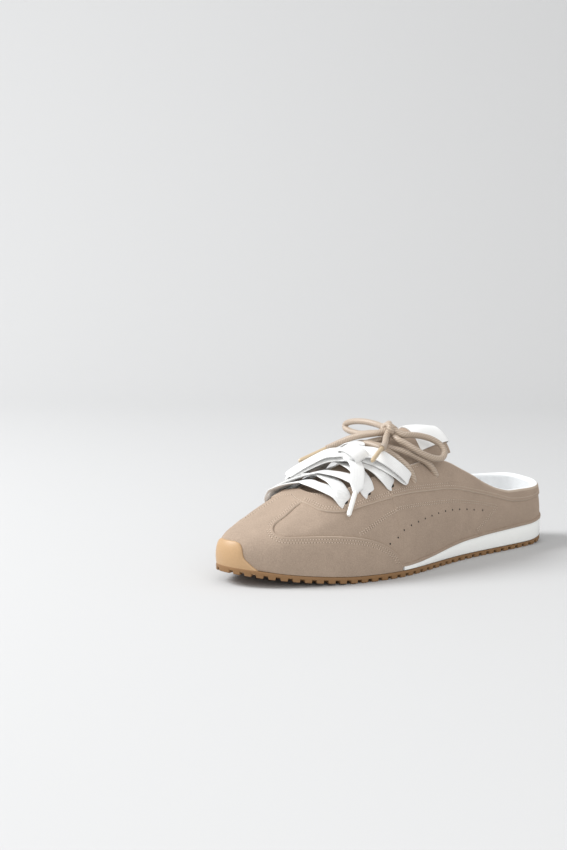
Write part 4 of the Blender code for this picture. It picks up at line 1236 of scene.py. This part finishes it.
def make_bumper(looks):
    """The gum that curls up over the toe."""
    reach = smooth_through(BUMPER_REACH)
    foot, rise = BUMPER_FOOT, BUMPER_RISE
    up = np.concatenate([np.linspace(0, 0.9, 26), np.linspace(0.92, 1.0, 8)])
    across = np.sin(np.linspace(-1, 1, 61) * math.pi / 2)
    k = np.abs(across)[None, :] * reach(up)[:, None]
    w = np.broadcast_to((foot + up * (rise - foot))[:, None], k.shape)
    edge = np.minimum(1 - np.abs(across)[None, :] ** 10, (1 - up[:, None]) * 14 + 0.25)
    height = OVERLAY + GAP - 0.1 + BUMPER * np.clip(edge, 0, 1) ** 0.5
    q = np.where(across >= 0, 1, -1)[None, :] * (1 - w)
    outer = np.stack([on_form(k[i], q[i], height[i]) for i in range(len(up))])
    inner = np.stack([on_form(k[i], q[i], 0 * height[i] + 0.2) for i in range(len(up))])
    skin = Skin()
    skin.grid(np.concatenate([outer, inner[::-1], outer[:1]], axis=0))
    for j in (0, -1):
        skin.grid(np.stack([outer[:, j], inner[:, j]], 1))
    return dress(skin.build("toe_bumper", [looks["gum bumper"]], smooth=60), slot="outsole")


def make_midsole(looks):
    """The white wedge, a little rounded at its edges, thin and set in under the forefoot."""
    front, end = WING_END + 0.002, WING_END + 0.004
    k = np.unique(np.concatenate([np.linspace(0, 1, 160), [front, end]]))
    inset = (upper_inset(k) + WALL + 2 * GAP) * (1 - np.clip((k - front) / (end - front), 0, 1))
    rows = [(0.9, 1.0), (0.25, 0.985), (0.0, 0.93), (-0.05, 0.5), (0.0, 0.08), (0.25, 0.02), (0.6, 0.0)]

    def side_rings(side):
        def level(share):
            return lambda s: (gum_top(s) + GAP) * (1 - share) + (midsole_top(s) + GAP) * share

        return [(side, inset + more, level(share)) for more, share in rows]

    skin = Skin()
    skin.grid(closed(rings_at(k, side_rings(LATERAL) + side_rings(MEDIAL)[::-1])))
    return dress(skin.build("white_midsole", [looks["white rubber"]], smooth=50), "midsole")


def make_insole(looks):
    """The white footbed, hollowed a little under the heel."""
    k = np.linspace(0, 1, 120)
    inset = upper_inset(k) + WALL + 2 * GAP
    rows = [(1.0, 0.0), (0.05, 0.5), (0.0, 0.85), (0.5, 1.0), (2.0, 0.98), (5.0, 0.80), (9.0, 0.70)]

    narrow = np.sin(np.pi * np.clip(k, 0.02, 0.98)) ** 0.4

    def side_rings(side):
        def level(share):
            return lambda s: midsole_top(s) + GAP + INSOLE * share

        return [(side, inset + more * narrow, level(share)) for more, share in rows]

    skin = Skin()
    skin.grid(closed(rings_at(k, side_rings(LATERAL) + side_rings(MEDIAL)[::-1])))
    return dress(skin.build("footbed", [looks["lining"]], smooth=60), "insole")


# k, half width of the tongue as a share of the rib, its face over the eyestay's inner face, its hump
TONGUE_RUN = [
    (0.212, 0.30, -0.3, 0.0),
    (0.250, 0.36, -0.3, 0.0),
    (0.350, 0.38, -0.3, 0.0),
    (0.490, 0.42, -0.3, 0.0),
    (0.520, 0.43, -0.3, 2.6),
    (0.550, 0.43, -0.3, 5.0),
    (0.580, 0.42, 0.0, 3.8),
    (0.610, 0.42, 0.3, 1.6),
    (0.656, 0.41, 0.3, -2.0),
]
TONGUE_HALF, TONGUE_LIFT, TONGUE_HUMP = (smooth_through(TONGUE_RUN, column) for column in (1, 2, 3))
TONGUE_FROM, TONGUE_TO = TONGUE_RUN[0][0], TONGUE_RUN[-1][0]


def tongue_lift(k, q):
    """The height of the tongue's outer face over the form, humped along its middle at the end."""
    hump = np.clip(1 - (q / 0.42) ** 2, 0, 1) ** 2
    return TONGUE_LIFT(k) - WALL - 2 * GAP + TONGUE_HUMP(k) * hump


def padded_sheet(name, k, half, lift, thick, materials, node):
    """A soft sheet over the form with rounded edges: rows at k, half width in q, seat and thickness."""
    across = np.sin(np.linspace(-1, 1, 33) * math.pi / 2)
    outer, inner = [], []
    for row, wide in zip(k, half):
        q = across * wide
        seat = lift(np.full_like(q, row), q)
        swell = np.sqrt(np.clip(1 - np.abs(across) ** 8, 0, 1)) * 0.5 * thick
        outer.append(on_form(row, q, seat - thick / 2 + swell))
        inner.append(on_form(row, q, seat - thick / 2 - swell))
    skin = Skin()
    outer, inner = np.array(outer), np.array(inner)
    skin.grid(np.concatenate([outer, inner[:, ::-1]], axis=1))
    for j in (0, -1):
        middle = (outer[j] + inner[j]) / 2
        run = outer[j] - outer[j + 1 if j == 0 else j - 1]
        bulge = unit(run) * thick * 0.45
        above, below = ((face[j] + middle) / 2 + bulge * 0.8 for face in (outer, inner))
        skin.grid(np.stack([outer[j], above, middle + bulge, below, inner[j]]))
    return dress(skin.build(name, materials, smooth=70), node)


def make_tongue(looks):
    k = np.linspace(TONGUE_FROM, TONGUE_TO - 0.003, 60)
    return padded_sheet("suede_tongue", k, TONGUE_HALF(k), tongue_lift, TONGUE, [looks["suede"]], "tongue")


def label_half():
    steps = np.linspace(0, 0.5, 26)
    girth = np.linalg.norm(np.diff(on_form(TONGUE_TO, steps, 0), axis=0), axis=1).cumsum()
    return float(np.interp(LABEL_WIDTH / 2, girth, steps[1:]))


def make_label(looks):
    """The white label folded over the tongue's end, its lower face curled back under."""
    far, half = TONGUE_TO, label_half()
    per_mm = (far - 0.6) / np.linalg.norm(on_form(far, 0, 0) - on_form(0.6, 0, 0))
    radius = TONGUE / 2 + GAP
    turn = np.linspace(0, math.pi, 13)[1:-1]
    front = [(far - (LABEL_LENGTH - x) * per_mm, GAP) for x in np.linspace(0, LABEL_LENGTH, 14)]
    fold = [(far + math.sin(t) * radius * per_mm, -TONGUE / 2 + math.cos(t) * radius) for t in turn]
    back = [(far - x * per_mm, -TONGUE - GAP) for x in np.linspace(0, 8.0, 6)]
    route = np.array(front + fold + back)
    run = np.gradient(route / (per_mm, 1.0), axis=0)
    away = np.column_stack([-run[:, 1], run[:, 0]]) / np.linalg.norm(run, axis=1, keepdims=True)
    q = np.sin(np.linspace(-1, 1, 25) * math.pi / 2) * half
    grids = []
    for thick in (LABEL_THICK, 0.0):
        rows = []
        for (k, up), (dk, dup) in zip(route, away):
            seat = tongue_lift(np.full_like(q, min(k, far)), q)
            rows.append(on_form(k + dk * thick * per_mm, q, seat + up + dup * thick))
        grids.append(np.array(rows))
    skin = Skin()
    skin.grid(np.concatenate([grids[0], grids[1][:, ::-1], grids[0][:, :1]], axis=1))
    for j in (0, -1):
        skin.grid(np.stack([grids[0][j], grids[1][j]]))
    return dress(skin.build("label", [looks["label"]], smooth=50), "tongue_label")


# Laces

# About how far apart the points of a lace's route are, on the bars and on the loops and ends
BAR_STEP, CORD_STEP = 1.2, 0.8
# Heights over the form at which a bar ends in its eyelet and at which it turns down
EYELET_DEEP, EYELET_MOUTH = -2.8, 0.6
# A strand leaves the stay's height at this q and is at the throat's after this much more
SINK_FROM, SINK_RUN = 0.26, 0.20
# Powers that square off the flat lace's section, across it and through it
SQUARE_ACROSS, SQUARE_THROUGH = 0.7, 0.55


def route_points(route, spacing):
    k, q, up = np.array(route, float).T
    return open_curve(on_form(k, q, up), spacing)


def eyelet(side, i):
    """k and q of an eyelet, its q positive on the little toe's side."""
    q = 1 - EYELETS[i][2]
    return EYELETS[i][side], q if side == LATERAL else -q


def strand(ends, seat, crest, middle=None):
    """Rows of a lace's route from eyelet to eyelet, at one height on the stay and another in the throat."""
    (k0, q0), (k1, q1) = ends
    rows = []
    for u in np.linspace(0, 1, 13):
        k, q = k0 + (k1 - k0) * u, q0 + (q1 - q0) * u
        if middle is not None:
            k += (middle - (k0 + k1) / 2) * math.sin(math.pi * u) ** 1.3
        inside = min(max((SINK_FROM - abs(q)) / SINK_RUN, 0), 1)
        rows.append((k, q, seat + (crest - seat) * inside**2 * (3 - 2 * inside)))
    return rows


def outward(points):
    """Roughly out of the upper at each point: up and away from a line inside the shoe."""
    s = points[:, 0]
    core = np.column_stack([s, RIDGE_SIDE(s / LENGTH) * BALL_WIDTH, 0 * s + CORE_HEIGHT])
    return unit(points - core)


def tube(skin, points, across, wide, thick, slot=0, flat=True):
    """Adds a lace along the points to the skin, with its width and thickness at each point."""
    run = unit(np.gradient(points, axis=0))
    across = unit(across - (across * run).sum(1, keepdims=True) * run)
    out = np.cross(run, across)
    sides = 20 if flat else 16
    turn = np.linspace(0, 2 * math.pi, sides + 1)
    x, y = np.cos(turn), np.sin(turn)
    if flat:
        x = np.sign(x) * np.abs(x) ** SQUARE_ACROSS
        y = np.sign(y) * np.abs(y) ** SQUARE_THROUGH
    wide, thick = np.broadcast_to(wide, len(points)), np.broadcast_to(thick, len(points))
    rings = points[:, None] + across[:, None] * (x[None] * wide[:, None] / 2)[..., None]
    rings = rings + out[:, None] * (y[None] * thick[:, None] / 2)[..., None]
    along = travel(points)
    places = np.stack(np.broadcast_arrays(turn[None] / (2 * math.pi), along[:, None]), -1)
    skin.grid(rings, slot, places)
    skin.fan(rings[0, :-1], points[0], slot)
    skin.fan(rings[-1, :-1], points[-1], slot)


def carried(points, first):
    """A direction across the line that turns with it as little as possible."""
    run = unit(np.gradient(points, axis=0))
    across = np.zeros_like(points)
    side = np.asarray(first, float)
    for i, r in enumerate(run):
        side = unit(side - (side @ r) * r)
        across[i] = side
    return across


def tucked(points, wide, thick, reach=5.0, share=0.5):
    """Widths and thicknesses that gather the lace where it goes into its eyelets."""
    along = travel(points)
    near = np.minimum(along, along[-1] - along)
    open_up = share + (1 - share) * ease(near, 0, reach)
    return wide * open_up, thick * (1 + 0.9 * (1 - open_up))


def into_eyelets(rows):
    """A strand's rows with both its ends led down into their eyelets."""
    start, stop = rows[0][:2], rows[-1][:2]
    deep, mouth = EYELET_DEEP, EYELET_MOUTH
    return [(*start, deep), (*start, mouth), *rows[1:-1], (*stop, mouth), (*stop, deep)]


# How much wider than its own width the white lace is pulled flat where it crosses
SPREAD_BARS, SPREAD_FRONT = 1.15, 1.35
# How far behind the throat's front the front bar's middle is, and the round bars' behind the white knot, in k
FRONT_BAR, ROUND_BARS = 0.024, 0.072


def make_flat_bars(looks):
    seat = OVERLAY + 2.5 * GAP + FLAT_LACE_THICK
    under, over = FLAT_LACE_THICK / 2, 2 * FLAT_LACE_THICK + GAP
    routes = [strand((eyelet(LATERAL, 0), eyelet(MEDIAL, 0)), seat + GAP, seat + 2 * GAP, THROAT + FRONT_BAR)]
    for i in (0, 1):
        routes.append(strand((eyelet(LATERAL, i), eyelet(MEDIAL, i + 1)), seat + GAP, under))
        routes.append(strand((eyelet(MEDIAL, i), eyelet(LATERAL, i + 1)), seat + 1.5 * GAP, over))
    routes.append(strand((eyelet(LATERAL, 2), eyelet(MEDIAL, 2)), seat, over, FLAT_KNOT[0]))
    skin = Skin()
    for i, rows in enumerate(routes):
        points = route_points(into_eyelets(rows), BAR_STEP)
        spread = SPREAD_FRONT if i == 0 else SPREAD_BARS
        wide, thick = tucked(points, FLAT_LACE_WIDTH * spread, FLAT_LACE_THICK, share=0.72)
        run = np.gradient(points, axis=0)
        tube(skin, points, np.cross(run, outward(points)), wide, thick)
    return dress(skin.build("flat_lace_bars", [looks["white lace"]], smooth=60), "flat_lace_bars")


def make_round_bars(looks):
    seat = OVERLAY + GAP + ROUND_LACE / 2 + 0.2
    middle = FLAT_KNOT[0] + ROUND_BARS
    skin = Skin()
    routes = []
    for i in (3, 4):
        routes.append(into_eyelets(strand((eyelet(LATERAL, i), eyelet(MEDIAL, i)), seat, seat, middle)))
    knot_k = ROUND_KNOT[0]
    routes.append([(middle, 0, seat), (knot_k - 0.025, 0.05, seat - 0.3), (knot_k, 0.09, seat - 0.7)])
    for rows in routes:
        points = route_points(rows, BAR_STEP)
        tube(skin, points, carried(points, (0, 0, 1)), ROUND_LACE, ROUND_LACE, flat=False)
    return dress(skin.build("round_lace_bars", [looks["cord"]], smooth=80), "round_lace_bars")


def knot_frame(knot):
    """A knot's centre and its axes along the ridge, across it and out of the upper."""
    k, q, up = knot[:3]
    centre, over, ahead = on_form(k, q, up), on_form(k, q, up + 1), on_form(k - 0.002, q, up)
    z = unit(over - centre)
    x = unit(ahead - centre - ((ahead - centre) @ z) * z)
    return centre, np.array([x, np.cross(z, x), z])


def make_flat_knot(looks):
    """The flat lace's knot: a soft lump with the lace wrapped once over it."""
    centre, axes = knot_frame(FLAT_KNOT)
    half = np.array(FLAT_KNOT[3:])
    skin = Skin()
    turn, climb = np.linspace(0, 2 * math.pi, 41), np.linspace(-math.pi / 2, math.pi / 2, 24)
    u, v = np.meshgrid(turn, climb)
    ball = np.stack([np.cos(v) * np.cos(u), np.cos(v) * np.sin(u), np.sin(v)], -1)
    fold = 1 + 0.05 * np.sin(5 * u + 2 * v) * np.cos(v) + 0.04 * np.sin(3 * u - 4 * v) * np.cos(v)
    skin.grid(centre + (ball * fold[..., None] * half * 0.9) @ axes, 0, np.stack([u / 6.3, v * 6], -1))
    wrap = np.linspace(-0.6, 3.7, 40)
    x, y, z = 0.12 * half[0] * np.sin(wrap), half[1] * 0.98 * np.cos(wrap), half[2] * np.sin(wrap)
    points = centre + np.stack([x, y, z], -1) @ axes
    tube(skin, points, np.tile(axes[0], (len(points), 1)), FLAT_LACE_WIDTH * 1.15, FLAT_LACE_THICK)
    return dress(skin.build("flat_lace_knot", [looks["white lace"]], smooth=60), "flat_lace_knot")


def make_round_knot(looks):
    """The round lace's knot: two turns of the cord over each other."""
    centre, axes = knot_frame(ROUND_KNOT)
    half = np.array(ROUND_KNOT[3:]) - ROUND_LACE / 2 + 0.2
    skin = Skin()
    for lean, size in ((0.35, 1.0), (-0.5, 0.92)):
        t = np.linspace(0, 2 * math.pi * 0.97, 46)
        x = half[0] * (lean * np.cos(t) + 0.25 * np.sin(2 * t))
        y, z = half[1] * np.cos(t), half[2] * np.sin(t)
        points = centre + np.stack([x, y, z], -1) * size @ axes
        tube(skin, points, carried(points, axes[0]), ROUND_LACE, ROUND_LACE, flat=False)
    return dress(skin.build("round_lace_knot", [looks["cord"]], smooth=80), "round_lace_knot")


# How far the faces of the white bow lean over, across and along the shoe
BOW_LEAN = np.array([0.9, -0.5, 0.0])


def tip_start(points, length):
    """The number of the last point that stands further than the tip's length from the lace's end."""
    back = np.linalg.norm(points - points[-1], axis=1)
    return len(points) - 1 - int(np.argmax(back[::-1] > length))


def make_flat_cord(name, looks, bow, end, nodes):
    """One half of the flat lace's bow: its loop, the way through the knot and the free end with its tip."""
    k, q, up = FLAT_KNOT[:3]
    loop = [(k, q, up + 1.2), *bow, (k, q, up - 1.2)]
    whole = route_points([*loop, *end], CORD_STEP)
    cut = tip_start(whole, FLAT_TIP_LENGTH)
    points = whole[: cut + 1]
    start = route_points(loop, CORD_STEP)
    tip = start[len(start) // 2]
    side = unit(np.cross(tip - start[0], outward(start[:1])[0] + BOW_LEAN))
    run = np.gradient(points, axis=0)
    laid = unit(np.cross(run, outward(points)))
    n = min(len(start), len(points) - 1)
    share = ease(np.arange(len(points)), n - 4, n + 6)[:, None]
    across = np.where(laid @ side > 0, 1, -1)[:, None] * laid * share + side * (1 - share)
    along = np.arange(len(points)) * CORD_STEP
    narrow = 1 - 0.55 * ease(along, along[-1] - 7, along[-1])
    skin = Skin()
    tube(skin, points, across, FLAT_LACE_WIDTH * narrow, FLAT_LACE_THICK * (1 + 0.9 * (1 - narrow)))
    lace = dress(skin.build(name, [looks["white lace"]], smooth=60), *nodes[:2])
    cap = make_tip(name + "_tip", whole[cut:], FLAT_TIP, looks["white tip"], nodes[2])
    return lace


def make_tip(name, points, diameter, look, node):
    """The stiff tip: a slim tube, a little crimped at its start and rounded at its end."""
    line = points[0] + (points[-1] - points[0]) * np.linspace(0, 1, 14)[:, None]
    share = np.linspace(0, 1, 14)
    crimp = 0.92 + 0.08 * ease(share, 0.0, 0.1)
    size = diameter * crimp * np.sqrt(np.clip(1 - ease(share, 0.93, 1.05), 0.05, 1))
    skin = Skin()
    tube(skin, line, carried(line, (0, 0, 1)), size, size, flat=False)
    return dress(skin.build(name, [look], smooth=60), node)


def make_round_cord(name, looks, route, nodes, seats, with_tip, pieces=()):
    """A loop or an end of the round lace, starting inside its knot."""
    k, q, up = ROUND_KNOT[:3]
    rows = [(k, q, up + seats[0]), *route] + ([(k, q, up + seats[1])] if len(seats) > 1 else [])
    whole = route_points(rows, CORD_STEP)
    points = whole
    if with_tip:
        cut = tip_start(whole, ROUND_TIP_LENGTH)
        points = whole[: cut + 1]
    skin = Skin()
    tube(skin, points, carried(points, (0, 0, 1)), ROUND_LACE, ROUND_LACE, flat=False)
    lace = dress(skin.build(name, [looks["cord"]], smooth=80), nodes[0])
    pieces = list(pieces)
    if with_tip:
        pieces.append(make_tip(name + "_tip", whole[cut:], ROUND_TIP, looks["cord tip"], nodes[1]))
    return lace, points, pieces


def make_laces(looks):
    make_flat_bars(looks)
    make_round_bars(looks)
    flat_knot = make_flat_knot(looks)
    round_knot = make_round_knot(looks)
    side = ("flat_lace_bow_side", "flat_lace_end_side", "flat_lace_end_side_tip")
    toe = ("flat_lace_bow_toe", "flat_lace_end_inner", "flat_lace_end_inner_tip")
    make_flat_cord("flat_lace_side", looks, SIDE_BOW, SIDE_END, side)
    make_flat_cord("flat_lace_toe", looks, TOE_BOW, INNER_END, toe)
    for name, route, node, pieces in (
        ("round_loop_heel", HEEL_LOOP, "round_lace_loop_heel", [round_knot]),
        ("round_loop_inner", AIR_LOOP, "round_lace_loop_inner", []),
    ):
        lace, points, pieces = make_round_cord(name, looks, route, [node], (2.2, -2.2), False, pieces)
    for name, route, node in (
        ("round_end_front", FRONT_TAIL, "round_lace_end_front"),
        ("round_end_inner", INNER_TAIL, "round_lace_end_inner"),
    ):
        lace, points, pieces = make_round_cord(name, looks, route, [node, node + "_tip"], (0.0,), True)


# Studio

CAMERA_AZIMUTH, CAMERA_ELEVATION, CAMERA_DISTANCE = 46.66, 10.23, 1200.0
CAMERA_TARGET = (0.0, 0.0, 30.0)
FRAME_WIDE, FRAME_HIGH, FOCAL_PX = 567, 850, 1774.7
# Where the target sits in the frame, in pixels from its top left corner
TARGET_PX = (389.28, 515.69)
SENSOR = 36.0
# The paper's flat run before and behind the shoe, the radius of its curve, its height and half its width
SWEEP_FRONT, SWEEP_BACK, SWEEP_RADIUS, SWEEP_HIGH, SWEEP_HALF = -1500.0, 900.0, 900.0, 2600.0, 2500.0
WORLD_STRENGTH = 0.74


def make_camera():
    """A level camera whose frame is moved aside, so that the target sits at its place."""
    az, el = math.radians(CAMERA_AZIMUTH), math.radians(CAMERA_ELEVATION)
    back = np.array([math.sin(az) * math.cos(el), -math.cos(az) * math.cos(el), math.sin(el)])
    target = np.array(CAMERA_TARGET) - (MIDDLE, 0, 0)
    eye = target + CAMERA_DISTANCE * back
    turn, tilt = -az, -el
    for _ in range(40):
        ahead = np.array([math.sin(turn) * math.cos(tilt), math.cos(turn) * math.cos(tilt), math.sin(tilt)])
        right = np.array([math.cos(turn), -math.sin(turn), 0.0])
        up = np.cross(right, ahead)
        seen = target - eye
        u = FRAME_WIDE / 2 + FOCAL_PX * (seen @ right) / (seen @ ahead)
        v = FRAME_HIGH / 2 - FOCAL_PX * (seen @ up) / (seen @ ahead)
        turn += (u - TARGET_PX[0]) / FOCAL_PX
        tilt -= (v - TARGET_PX[1]) / FOCAL_PX
    lens = bpy.data.cameras.new("camera")
    lens.sensor_fit = "VERTICAL"
    lens.sensor_height = SENSOR
    lens.lens = SENSOR * FOCAL_PX / FRAME_HIGH
    lens.clip_start, lens.clip_end = 0.05, 20.0
    camera = bpy.data.objects.new("camera", lens)
    bpy.context.scene.collection.objects.link(camera)
    camera.location = eye * MM
    camera.rotation_mode = "QUATERNION"
    camera.rotation_quaternion = Vector(ahead).to_track_quat("-Z", "Y")
    bpy.context.scene.camera = camera


def make_floor():
    """A pale paper sweep: flat under the shoe, rising in a wide curve far behind it."""
    az = math.radians(CAMERA_AZIMUTH)
    away, side = np.array([-math.sin(az), math.cos(az)]), np.array([math.cos(az), math.sin(az)])
    profile = [(SWEEP_FRONT, 0.0), (SWEEP_BACK, 0.0)]
    for t in np.linspace(0, math.pi / 2, 24):
        profile.append((SWEEP_BACK + SWEEP_RADIUS * math.sin(t), SWEEP_RADIUS * (1 - math.cos(t))))
    profile.append((SWEEP_BACK + SWEEP_RADIUS, SWEEP_HIGH))
    points, faces = [], []
    for far, high in profile:
        for wide in (-SWEEP_HALF, SWEEP_HALF):
            x, y = away * far + side * wide
            points.append((x * MM, y * MM, high * MM))
    for i in range(len(profile) - 1):
        a = 2 * i
        faces.append((a, a + 1, a + 3, a + 2))
    mesh = bpy.data.meshes.new("paper_sweep")
    mesh.from_pydata(points, [], faces)
    mesh.shade_smooth()
    made, _, shader = new_material("paper", FLOOR, 0.9)
    shader.inputs["Specular IOR Level"].default_value = 0.1
    mesh.materials.append(made)
    floor = bpy.data.objects.new("paper_sweep", mesh)
    bpy.context.scene.collection.objects.link(floor)


def make_light(name, place, size, power, colour=(1, 1, 1)):
    lamp = bpy.data.lights.new(name, "AREA")
    lamp.shape = "DISK"
    lamp.size = size
    lamp.energy = power
    lamp.color = colour
    thing = bpy.data.objects.new(name, lamp)
    thing.location = place
    thing.rotation_mode = "QUATERNION"
    thing.rotation_quaternion = (Vector((0, 0, 0.03)) - Vector(place)).to_track_quat("-Z", "Y")
    bpy.context.scene.collection.objects.link(thing)


def make_lights():
    world_light = bpy.data.worlds.new("studio")
    world_light.use_nodes = True
    background = world_light.node_tree.nodes["Background"]
    background.inputs["Color"].default_value = (1.0, 1.0, 1.0, 1)
    background.inputs["Strength"].default_value = WORLD_STRENGTH
    bpy.context.scene.world = world_light
    make_light("key", (-1.1, -1.3, 1.6), 1.2, 58.0, (0.97, 0.985, 1.0))
    make_light("fill", (1.6, -0.9, 1.0), 1.5, 12.0)
    bpy.context.scene.view_settings.view_transform = "Standard"


def main():
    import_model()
    looks = make_looks()
    make_outsole(looks)
    make_bumper(looks)
    make_midsole(looks)
    make_insole(looks)
    make_upper(looks)
    make_tongue(looks)
    make_label(looks)
    make_stitches(looks)
    make_holes(looks)
    make_laces(looks)
    make_camera()
    make_floor()
    make_lights()


main()
